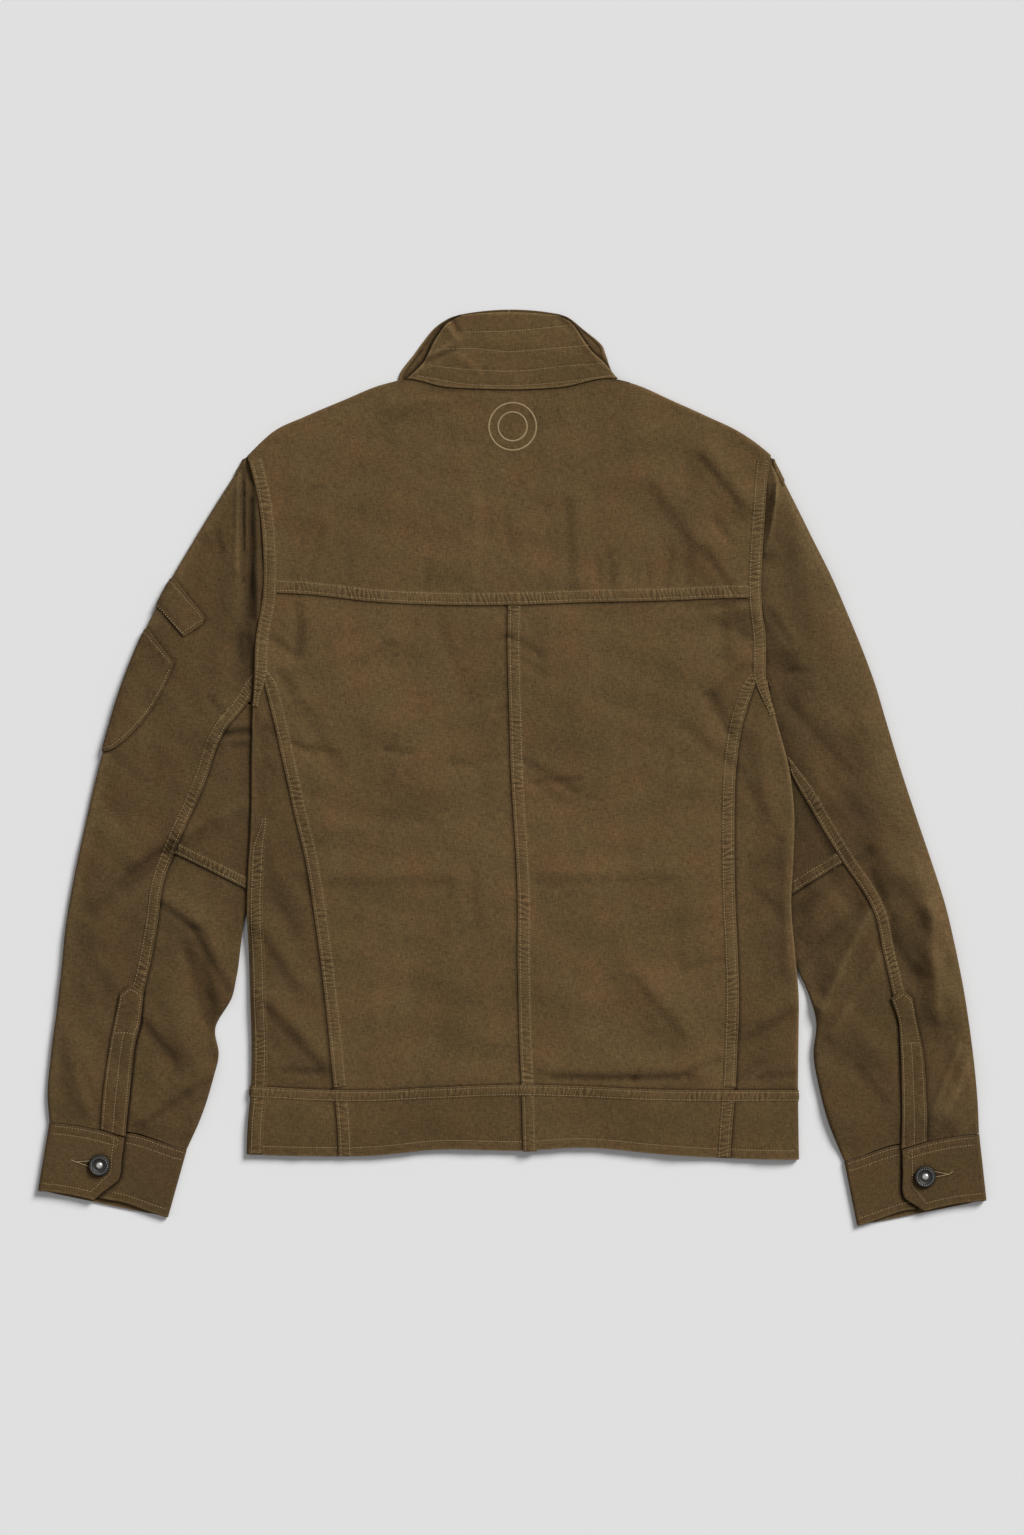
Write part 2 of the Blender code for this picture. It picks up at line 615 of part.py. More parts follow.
def build_yoke():
    """Columns run from the yoke seam up to the shoulder fold or neck seam, and on round the fold."""
    armholes = (lambda y: body.low(y) + HALF, lambda y: body.high(y) - HALF)
    left_end, right_end = -229.5, 224.0
    neck = (NECK + HALF, NECK - HALF)
    xs = np.concatenate([
        [left_end, left_end + SEAM], np.linspace(left_end + STRIP, -neck[0], 8),
        np.linspace(-neck[1], neck[1], 13), np.linspace(neck[0], right_end - STRIP, 8),
        [right_end - SEAM, right_end],
    ])
    share = (xs - left_end) / (right_end - left_end)
    raised = (xs - left_end < SEAM + 0.5) | (right_end - xs < SEAM + 0.5)

    def across(y):
        return armholes[0](y) + share * (armholes[1](y) - armholes[0](y))

    folded = np.abs(xs) > NECK
    top = shoulder_top(xs)
    for _ in range(6):
        top = shoulder_top(across(top))
    x_top = across(top)
    slope = shoulder_slope(x_top)
    long = np.hypot(1, slope)
    half = LOFT / 2
    start = top - np.where(folded, half * long, HALF)
    foot = curve(CROSS, "x", "yoke", across(np.full(len(xs), 145.0))) + HALF
    levels = [(0, 0.0, True), (0, SEAM, True), (0, STRIP, False)]
    levels += [(k / 8, 0.0, False) for k in range(1, 9)]
    points, normals = [], []
    for fraction, offset, strip in levels:
        y = foot + offset + fraction * (start - foot - offset)
        x = across(y)
        at, normal = body.ring(x - body.low(y), y)
        felled = (raised | strip) & (fraction < 1)
        points.append(at + FELL * felled[:, None] * normal)
        normals.append(normal)
    out = np.stack([-slope / long, 1 / long, np.zeros(len(xs))], -1)
    up = np.array([0.0, 0.0, 1.0])
    for turn in (45, 0, -45, -90):
        c, s = math.cos(math.radians(turn)), math.sin(math.radians(turn))
        y = top - half * (1 - c) * long
        points.append(np.stack([across(y), y, np.full(len(xs), half * (1 + s))], -1))
        normals.append(out * c + up * s)
    for depth in (15.0, YOKE_TURN):
        y = top - depth * long
        for _ in range(6):
            y = turned_edge(across(y), depth)
        points.append(np.stack([across(y), y, np.zeros(len(xs))], -1))
        normals.append(np.broadcast_to(-up, (len(xs), 3)))
    outer = np.array(points).transpose(1, 0, 2)
    normal = np.array(normals).transpose(1, 0, 2)
    keep = np.full((len(xs) - 1, len(points) - 1), True)
    flat = len(levels) - 1
    turned = folded[:-1] & folded[1:] & (np.sign(xs[:-1]) == np.sign(xs[1:]))
    keep[~turned, flat:] = False
    cloth("back_yoke", outer, normal, keep=keep)


def build_hem():
    hem = cross_border("hem", -335, 0.0)
    band = cross_border("band", -279, -HALF)
    seam = left_side_seam(HALF)
    inside = past(seam, low_nose(-1.0))
    middle = past(inside, low_nose(0.0))
    outside = past(middle, low_nose(1.0))
    panels = (
        ("hem_side_left", [
            Station(seam), Station(inside), Station(middle), Station(outside, 3),
            Station(back_seam("left", -HALF)),
        ]),
        ("hem_back_left", [Station(back_seam("left", HALF), 8), Station(back_seam("centre", -HALF))]),
        ("hem_back_right", [Station(back_seam("centre", HALF), 9), Station(back_seam("right", -HALF))]),
        ("hem_side_right", [
            Station(back_seam("right", HALF), 3), Station(high_nose(-1.0)), Station(high_nose(0.0)),
            Station(high_nose(1.0), 2), Station(right_side_seam(-HALF, -1)),
        ]),
    )
    for name, stations in panels:
        outer, normal = panel_grid(body, stations, hem, band, 4)
        cloth(name, outer, normal, WALL if "side" in name else BAND, CANVAS_SHADE)


# --- Front, underneath --------------------------------------------------------------------------------


class FrontLap(Body):
    """The underside of the right front, which rises over the left front's lap at the centre."""

    def under(self, a, p):
        return super().under(a, p) + (WALL + GAP) * rise(a, LAP + 20, LAP + 3)


front_lap = FrontLap()


def front_top(a):
    """Upper edge of the fronts: the front neck between the shoulders, then the yoke's turned edge."""
    shoulder = turned_edge(a, YOKE_TURN) - FRONT_GAP
    neck = FRONT_NECK_TOP - FRONT_NECK_DROP * (1 - (a / FRONT_NECK_HALF) ** 2)
    return np.where(np.abs(a) > NECK - FRONT_GAP, shoulder, np.minimum(neck, FRONT_NECK_TOP))


def front_stations(end, start, inner):
    """Stations of a front, as ring places on the underside, from the side seam to the centre."""

    def ring_place(x):
        if end:
            return lambda p: 2 * body.high(p) - body.low(p) - x
        return lambda p: body.low(p) - x

    neck = NECK if end else -NECK
    inside = neck - 3 if end else neck + 3
    across = [Station(ring_place(x), steps) for x, steps in ((neck, 1), (inside, 3), *inner)]
    return [*start, *across]


def build_fronts():
    """On the underside a ring place of the left front is negative and runs on from the left edge."""
    top = Border(270, front_top)
    band = cross_border("band", -279, HALF)
    side_right = right_side_seam(HALF, 1)
    left = front_stations(0, [Station(left_side_seam(-HALF), 8)], ((LAP, 1),))
    rows = (1, FIRST_ROW, 213, 2)
    right = front_stations(1, [Station(side_right, 7)], ((LAP + 20, 1), (LAP + 3, 2), (-LAP, 1)))
    panel("front_left", body, left, band, top, rows)
    panel("front_right", front_lap, right, band, top, rows)
    hem = cross_border("hem", -335, 0.0)
    under_band = cross_border("band", -279, -HALF)
    panel("hem_front_left", body, left, hem, under_band, 3, code=CANVAS_SHADE)
    panel("hem_front_right", front_lap, right, hem, under_band, 3, code=CANVAS_SHADE)


# --- Collar -------------------------------------------------------------------------------------------


def collar_points(rows, down, across):
    """(x, y) on the collar, at a share of the way down its table and a share across."""
    table = [(k / (len(rows) - 1), row) for k, row in enumerate(rows)]
    numbered = [namedtuple("Row", ("k",) + row._fields)(k, *row) for k, row in table]
    read = {name: curve(numbered, "k", name, down) for name in rows[0]._fields}
    x = read["left_x"] + across * (read["right_x"] - read["left_x"])
    level_y = read["left_y"] + across * (read["right_y"] - read["left_y"])
    dip = read["middle"] - (read["left_y"] + read["right_y"]) / 2
    return x, level_y + dip * 4 * across * (1 - across)


def along_neck(rows, down, across):
    """The same, with the first row drawn onto the neck seam of the yoke."""
    x, y = collar_points(rows, down, across)
    foot_x, foot_y = collar_points(rows, 0 * down, across)
    return x, y + (shoulder_top(foot_x) + 2 * GAP - foot_y) * (1 - down) ** 3


def build_collar():
    down = np.linspace(0, 1, 9)
    up = np.array([0.0, 0.0, 1.0])

    def plate(name, places, rows, first, last, steps, base, crown):
        across, along = np.meshgrid(np.linspace(first, last, steps + 1), down, indexing="ij")
        x, y = places(rows, along, across)
        z = base + COLLAR_WALL + crown * np.sin(math.pi * along) * np.sin(math.pi * across)
        outer = np.stack([x, y, z], -1)
        cloth(name, outer, np.broadcast_to(up, outer.shape), COLLAR_WALL)

    plate("collar_back", along_neck, COLLAR_BACK, 0, 1, 12, COLLAR_LIFT, COLLAR_CROWN)
    plate("collar_front_left", collar_points, COLLAR_FRONT, 0, 0.5, 6, 0.0, 0.0)
    plate("collar_front_right", collar_points, COLLAR_FRONT, 0.502, 1, 6, 0.0, 0.0)


# --- Sleeves ------------------------------------------------------------------------------------------


def build_sleeve(tube, word, elbow_seam, elbow_inner):
    """The top sleeve turns round the outer fold, and the under sleeve round the inner one."""
    cuff = level(tube.rows[-1].y + HALF)
    cap = level(tube.rows[0].y - 1)

    def seam(shift):
        return lambda p: tube.seam(p) - tube.low(p) + shift

    def high(share):
        return lambda p: tube.high(p) - tube.low(p) + share * tube.nose(1, p)[1]

    def forearm(p):
        """Distance of the hidden forearm seam from the inner edge, underneath."""
        return np.where(np.asarray(p) < tube.underarm, 4 + 16 * rise(p, tube.underarm, 0), 0.0)

    def back_edge(p):
        return np.where(np.asarray(p) > tube.underarm, HALF, seam(HALF)(p))

    def under_end(p):
        return 2 * (tube.high(p) - tube.low(p)) - forearm(p) - HALF

    def strip(width, least):
        """The far side of the seam, kept inside the outer fold near the tip of the sleeve head."""
        return lambda p: np.minimum(back_edge(p) + width, high(least)(p))

    stations = [
        Station(back_edge, 1, True), Station(strip(SEAM, -1.3), 1, True), Station(strip(STRIP, -1.2), 5),
        Station(high(-1.0)), Station(high(-0.5)), Station(high(0.0)), Station(high(0.5)),
        Station(high(1.0), 3), Station(under_end),
    ]
    panel(f"sleeve_{word}_top", tube, stations, cuff, cap, (2, FIRST_ROW, 247, 1))

    def low(share):
        return lambda p: share * np.maximum(tube.nose(0, p)[1], 0.5)

    def elbow(shift):
        def at(a):
            near = curve(tube.rows, "y", "seam", elbow_seam)
            far = curve(tube.rows, "y", "inner", elbow_inner)
            share = np.clip((near - a) / (near - far), 0, 1.0)
            return elbow_seam + share * (elbow_inner - elbow_seam) + shift

        return Border((elbow_seam + elbow_inner) / 2, at)

    inner = [
        Station(lambda p: -forearm(p) + HALF), Station(low(-1.0)), Station(low(0.0)), Station(low(1.0), 5),
        Station(lambda p: np.maximum(seam(-HALF)(p), low(1.15)(p))),
    ]
    start = level(tube.underarm - 1.5 - GAP)
    panel(f"sleeve_{word}_under_upper", tube, inner, elbow(0.3), start, (2, -59, tube.underarm - 4, 1))
    panel(f"sleeve_{word}_under_lower", tube, inner, cuff, elbow(-0.3), (2, FIRST_ROW, -127, 3))


PlacketRow = namedtuple("PlacketRow", "y near far")
LEFT_PLACKET = (
    PlacketRow(-313, 335.6, 357.6), PlacketRow(-288, 332.5, 355.3), PlacketRow(-240, 327.5, 349),
    PlacketRow(-215, 321.8, 344), PlacketRow(-196, 319.8, 340),
)
RIGHT_PLACKET = (
    PlacketRow(-328, 338, 360.2), PlacketRow(-290, 338, 359.3), PlacketRow(-240, 336.5, 355.3),
    PlacketRow(-218, 336, 351.5), PlacketRow(-200, 329.8, 347),
)
PLACKET_POINT = 8.0  # how far the placket's point stands over its shoulders


def sleeve_places(tube, x, y):
    """The (w, p) of points given by their place in the plane, on the top of a sleeve."""
    a = tube.side * x
    p = np.array(y, float)
    for _ in range(8):
        share = (tube.high(p) - a) / (tube.high(p) - tube.low(p))
        p = y + curve(tube.rows, "y", "drop", p) * share
    return a - tube.low(p), p


def build_placket(tube, word, rows):
    across, along = np.meshgrid(np.linspace(0, 1, 5), np.linspace(0, 1, 8), indexing="ij")
    foot = rows[0].y
    shoulder = rows[-1].y
    y = foot + along * (shoulder - foot)
    near = curve(rows, "y", "near", y)
    far = curve(rows, "y", "far", y)
    x = tube.side * (near + across * (far - near))
    peak = PLACKET_POINT * (1 - np.abs(2 * across - 1)) * along**6
    w, p = sleeve_places(tube, x, y + peak)
    at, normal = tube.ring(w, p)
    outer = at + (FELL + 0.5 + PLACKET_WALL) * normal
    cloth(f"placket_{word}", outer, normal, PLACKET_WALL)


# Corners of the patches on the left sleeve: distance from the outer fold and row.
PatchCorner = namedtuple("PatchCorner", "away row")
FLAP = (PatchCorner(0, 164), PatchCorner(47.5, 130), PatchCorner(36, 113), PatchCorner(0, 139))
POCKET = (PatchCorner(0, 120), PatchCorner(38, 90.5), PatchCorner(8, 24), PatchCorner(0, 14))


def build_patch(name, corners, round_foot):
    """A patch that lies on the sleeve and turns round its outer fold.

    It is laid out between its upper and its lower edge. Under the fold both edges run on level.
    """
    tube = left_sleeve
    turns = [(-1, k / 3) for k in range(3)] + [(0, turn) for turn in (-1.0, -0.5, 0.0, 0.5)]
    turns += [(1, k / 6) for k in range(7)]
    along = np.linspace(0, 1, 7 if round_foot else 4)
    points, normals = [], []
    reach = corners[1].away
    for zone, share in turns:
        away = max(share, 0) * reach if zone == 1 else 0.0
        upper = corners[0].row + (corners[1].row - corners[0].row) * away / reach
        if round_foot:
            bend = math.sqrt(max(0.0, 1 - (away / reach) ** 2))
            lower = corners[3].row + (corners[1].row - 6 - corners[3].row) * (1 - bend) ** 0.8
        else:
            foot = corners[2].away
            slant = (corners[2].row - corners[3].row) / foot
            lower = corners[3].row + slant * min(away, foot)
            if away > foot:
                lower += (corners[1].row - 6 - corners[2].row) * (away - foot) / (reach - foot)
        p = lower + along * (upper - lower)
        width = tube.high(p) - tube.low(p)
        nose = tube.nose(1, p)[1]
        if zone == 1:
            w = width - nose - share * np.maximum(reach - nose, 0)
        elif zone == 0:
            w = width - share * nose
        else:
            w = width + nose + (1 - share) * (PATCH_UNDER - nose)
        at, normal = tube.ring(w, p)
        points.append(at + (GAP + PATCH_WALL) * normal)
        normals.append(normal)
    cloth(name, np.array(points), np.array(normals), PATCH_WALL)


# --- Cuffs and buttons --------------------------------------------------------------------------------


def build_cuff(word, cuff):
    """One band: the tab on top, round the outer fold, back underneath, and round the inner fold to end
    below the tab.
    """
    rows = 8
    down = np.linspace(0, 1, rows + 1)[:, None]
    seam = np.array([cuff.outer_seam, cuff.inner_seam])
    edge = np.array([cuff.outer_edge, cuff.inner_edge])
    outer_line = seam[0] + down * (edge[0] - seam[0])
    inner_line = seam[1] + down * (edge[1] - seam[1])
    across = (inner_line - outer_line) / np.linalg.norm(inner_line - outer_line, axis=1)[:, None]
    width = np.linalg.norm(inner_line - outer_line, axis=1)[:, None]
    tab = curve(cuff.tab, "down", "across", down)
    up = np.array([0.0, 0.0, 1.0])
    places = []

    def sheet(shares, height, sign):
        for share in shares:
            flat = outer_line + share * width * across
            places.append((flat, height, np.zeros_like(flat), sign))

    def turn(line, out, half, middle, angles):
        for angle in angles:
            c, s = math.cos(math.radians(angle)), math.sin(math.radians(angle))
            places.append((line - out * half * (1 - c), middle + half * s, out * c, s))

    high = CUFF_TOP / 2
    low = CUFF_LOW_TOP / 2
    sheet([tab * (1 - k / 5) + k / 5 * high / width for k in range(5)], CUFF_TOP, 1)
    turn(outer_line, -across, high, high, (90, 45, 0, -45, -90))
    sheet([0.2, 0.4, 0.6, 0.8], 0.0, -1)
    turn(inner_line, across, low, low, (-90, -45, 0, 45, 90))
    sheet([0.85, 0.7, 0.55, 0.4, UNDER_TAB], CUFF_LOW_TOP, 1)
    points, normals = [], []
    for flat, height, out, rise_by in places:
        x = cuff.side * flat[:, 0]
        points.append(np.stack([x, flat[:, 1], np.full(rows + 1, height)], -1))
        side = np.stack([cuff.side * out[:, 0], out[:, 1], np.full(rows + 1, float(rise_by))], -1)
        normals.append(side / np.linalg.norm(side, axis=1)[:, None])
    cloth(f"cuff_{word}", np.array(points), np.array(normals), BAND, CANVAS_SHADE)


# Profile of a shank button, from its seat up: a foot, the dished rim and the domed centre.
ProfilePoint = namedtuple("ProfilePoint", "radius height")
BUTTON = (
    ProfilePoint(3.4, 0), ProfilePoint(3.4, 1.0), ProfilePoint(8.2, 1.0), ProfilePoint(BUTTON_RADIUS, 1.8),
    ProfilePoint(BUTTON_RADIUS, 2.9), ProfilePoint(8.3, 3.6), ProfilePoint(7.2, 3.6), ProfilePoint(6.2, 3.1),
    ProfilePoint(3.8, 3.0), ProfilePoint(3.2, 2.4), ProfilePoint(2.6, 3.2), ProfilePoint(1.4, 4.0),
)


def build_button(word, cuff):
    mesh = bpy.data.meshes.new(f"button_{word}")
    bm = bmesh.new()
    base = CUFF_TOP + GAP
    rings = []
    for point in BUTTON:
        ring = []
        for k in range(BUTTON_SIDES):
            turn = 2 * math.pi * k / BUTTON_SIDES
            x = cuff.button[0] + point.radius * math.cos(turn)
            y = cuff.button[1] + point.radius * math.sin(turn)
            ring.append(bm.verts.new((x * MM, y * MM, (base + point.height) * MM)))
        rings.append(ring)
    for below, above in zip(rings, rings[1:]):
        for k in range(BUTTON_SIDES):
            after = (k + 1) % BUTTON_SIDES
            bm.faces.new([below[k], below[after], above[after], above[k]])
    bm.faces.new(list(reversed(rings[0])))
    bm.faces.new(rings[-1])
    bm.to_mesh(mesh)
    bm.free()
    mesh.shade_smooth()
    mesh.set_sharp_from_angle(angle=math.radians(35))
    finish_object(f"button_{word}", mesh, GUNMETAL, 1.0, 0.35)


for old in list(bpy.data.objects):
    bpy.data.objects.remove(old, do_unlink=True)

build_back()
build_yoke()
build_hem()
build_fronts()
build_collar()
build_sleeve(left_sleeve, "left", -75.0, -108.0)
build_sleeve(right_sleeve, "right", -83.0, -114.0)
build_placket(left_sleeve, "left", LEFT_PLACKET)
build_placket(right_sleeve, "right", RIGHT_PLACKET)
build_patch("sleeve_pocket_flap", FLAP, False)
build_patch("sleeve_pocket", POCKET, True)
build_cuff("left", LEFT_CUFF)
build_cuff("right", RIGHT_CUFF)
build_button("left", LEFT_CUFF)
build_button("right", RIGHT_CUFF)
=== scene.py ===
"""A field jacket of washed cotton canvas, laid flat on its front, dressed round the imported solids.

Tables and sizes are in millimetres, and meshes in metres. X runs across the jacket, Y from hem to collar and
Z up. The sections follow the jacket as it is put together.
"""

import math
from collections import namedtuple

import bpy
import numpy as np
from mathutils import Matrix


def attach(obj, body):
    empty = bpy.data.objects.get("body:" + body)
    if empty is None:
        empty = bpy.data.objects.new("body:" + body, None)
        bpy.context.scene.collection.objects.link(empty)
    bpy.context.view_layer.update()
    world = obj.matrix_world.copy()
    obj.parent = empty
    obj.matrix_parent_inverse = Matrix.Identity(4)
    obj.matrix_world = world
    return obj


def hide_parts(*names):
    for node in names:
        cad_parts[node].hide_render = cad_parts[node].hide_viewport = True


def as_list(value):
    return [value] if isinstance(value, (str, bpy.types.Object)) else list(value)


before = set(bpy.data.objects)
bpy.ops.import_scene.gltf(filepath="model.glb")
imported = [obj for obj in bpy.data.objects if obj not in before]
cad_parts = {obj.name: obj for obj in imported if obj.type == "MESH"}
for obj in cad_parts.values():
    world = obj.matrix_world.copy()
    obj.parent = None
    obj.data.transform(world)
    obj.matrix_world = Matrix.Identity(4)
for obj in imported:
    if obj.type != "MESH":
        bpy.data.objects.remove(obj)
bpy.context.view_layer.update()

# === Table, lamp and camera ===========================================================================
# The jacket lies on a pale matt board. One large soft lamp hangs to the upper right, and a weaker one and
# the pale room fill the shadows. The camera looks straight down on it.

BOARD = "E3E3E3"
VIEW_HEIGHT = 1.3355  # of the board that the camera takes in, in metres
CAMERA_UP = 2.9
LENS = 85.0
ROOM_LIGHT = 0.208


def linear(code):
    """The linear colour of an sRGB hex code."""
    parts = [int(code[i : i + 2], 16) / 255 for i in (0, 2, 4)]
    return [c / 12.92 if c <= 0.04045 else ((c + 0.055) / 1.055) ** 2.4 for c in parts] + [1.0]


def add(tree, kind, inputs=None, **settings):
    """Adds a shader node, sets it up, and gives its inputs values or links from other nodes' outputs."""
    made = tree.nodes.new("ShaderNode" + kind)
    for name, value in settings.items():
        setattr(made, name, value)
    for key, value in (inputs or {}).items():
        if isinstance(value, bpy.types.NodeSocket):
            tree.links.new(value, made.inputs[key])
        else:
            made.inputs[key].default_value = value
    return made


def painted(name, finish):
    """A new material, its node tree and its shader, which takes the plain values of the finish."""
    material = bpy.data.materials.new(name)
    material.use_nodes = True
    shader = material.node_tree.nodes["Principled BSDF"]
    for key, value in finish.items():
        shader.inputs[key].default_value = value
    return material, material.node_tree, shader


def started(name, make, **shape):
    """A new object from one of Blender's own shapes, selected and active."""
    bpy.ops.object.select_all(action="DESELECT")
    make(**shape)
    piece = bpy.context.active_object
    piece.name = name
    return piece


board = started("board", bpy.ops.mesh.primitive_plane_add, size=14, location=(0, 0, 0))
matt_board, _, _ = painted(
    "matt_board", {"Base Color": linear(BOARD), "Roughness": 0.95, "Specular IOR Level": 0.1}
)
board.data.materials.append(matt_board)


def soft_lamp(name, place, spread, power):
    """A far lamp, as wide as `spread` degrees, whose light is even all over the board."""
    lamp = started(name, bpy.ops.object.light_add, type="SUN", location=place)
    lamp.data.angle = math.radians(spread)
    lamp.data.energy = power
    lamp.rotation_mode = "QUATERNION"
    lamp.rotation_quaternion = lamp.location.to_track_quat("Z", "Y")


soft_lamp("key_lamp", (2.0, 2.2, 2.0), 24, 3.79)
soft_lamp("fill_lamp", (-2.2, -0.4, 3.0), 60, 0.35)
room = bpy.data.worlds.new("room")
room.use_nodes = True
room.node_tree.nodes["Background"].inputs["Color"].default_value = (1, 1, 1, 1)
room.node_tree.nodes["Background"].inputs["Strength"].default_value = ROOM_LIGHT
bpy.context.scene.world = room
bpy.context.scene.view_settings.view_transform = "Standard"

camera = started("Camera", bpy.ops.object.camera_add, location=(0, 0, CAMERA_UP), rotation=(0, 0, 0))
camera.data.sensor_fit = "VERTICAL"
camera.data.sensor_height = VIEW_HEIGHT / CAMERA_UP * LENS
camera.data.sensor_width = camera.data.sensor_height
camera.data.lens = LENS
bpy.context.scene.camera = camera

# === Back panels ======================================================================================
# Two centre back panels and two side panels, cut from one cotton canvas and washed after sewing. The side
# panels turn under at the sides. Each is a thin shell on its solid's form, with its drag lines and creases.

MM = 0.001
WALL = 1.2  # canvas, with the allowances that lie under it
GAP = 0.3  # between neighbouring pieces
HALF = GAP / 2
LOFT = 6.0  # top of the cloth over the table
THIN = 3.2  # a pressed edge: two walls with hardly any air between them
LEAST = 2 * WALL + 0.1  # that the cloth can be pressed to
UP = np.array([0.0, 0.0, 1.0])
ROW = 2.2  # grid of a visible panel, along it
ACROSS = 2.8  # and across it
YOKE_TURN = 28.0
SIDE_TURN = 30.0
SEAM_UNDER = 5.0  # how far the side seams lie below the edge folds at the underarms
PRINCESS_TOP = 88
UNDERARMS = (58.5, 75.5)  # rows of the left and right underarm


def table(columns, *rows):
    """Rows of values under named columns."""
    kind = namedtuple("Row", columns)
    return [kind(*row) for row in rows]


# Edges of the body where it lies flat. Above the underarm they are the armholes.
BODY = table(
    "y left right",
    (-345, -231, 249.5), (-310, -229.7, 249), (-280, -227.2, 248.7), (-240, -226.5, 249),
    (-200, -227.6, 249.2), (-160, -228.8, 245.8), (-120, -230.4, 242.5), (-80, -229, 244.3),
    (-40, -226.8, 245.1), (0, -226.4, 240.5), (40, -225.6, 230), (75, -224, 221), (110, -222.9, 220.8),
    (150, -216.6, 216.8), (190, -216.4, 218), (220, -219, 220), (250, -224.5, 222.2), (272, -230.6, 225),
)

# Lengthwise seams of the back: two princess seams and the centre seam.
SEAMS = table(
    "y left centre right",
    (-345, -150.8, 9.4, 189.6), (-310, -152.2, 8.5, 191.6), (-280, -155, 7.7, 194.3),
    (-240, -158.8, 6, 196.1), (-200, -163, 5, 197.3), (-160, -167.8, 4.3, 196.2),
    (-120, -173.4, 4.5, 194.3), (-80, -180, 3, 193.5), (-40, -189.6, 0.5, 193.5), (0, -198.5, -1.7, 195.1),
    (40, -207.3, -2.8, 201.2), (75, -216, -3.8, 212.5), (98, -222, -4.4, 219.5), (150, -222, -4, 219.5),
)

# Crosswise edges of the body: the hem, its band and the yoke seam.
CROSS = table(
    "x hem band yoke",
    (-232, -336, -276, 151.6), (-180, -337.5, -279, 150), (-120, -337, -280, 143.5),
    (-65, -331.8, -277.5, 140.8), (8, -332.6, -275, 140.8), (62, -330, -276.5, 142.8),
    (127, -335.5, -279.5, 144.2), (180, -339, -280, 146.3), (250, -340.7, -280, 147.4),
)

# Top of the body: shoulder folds at the sides, and the neck seam between them.
SHOULDER = table(
    "x top",
    (-232, 269), (-208, 291.5), (-180, 305), (-147, 319), (-112, 333), (-93, 336.8), (-60, 330),
    (-26, 328), (7, 327.5), (40, 329.2), (93, 336.8), (107, 333), (139, 319), (170, 305), (198, 291.5),
    (212, 282.2), (226, 270.8),
)


def creases(*rows):
    """Soft ridges, or troughs where their height is negative, each from (x0, y0) to (x1, y1)."""
    return table("x0 y0 x1 y1 width height", *rows)


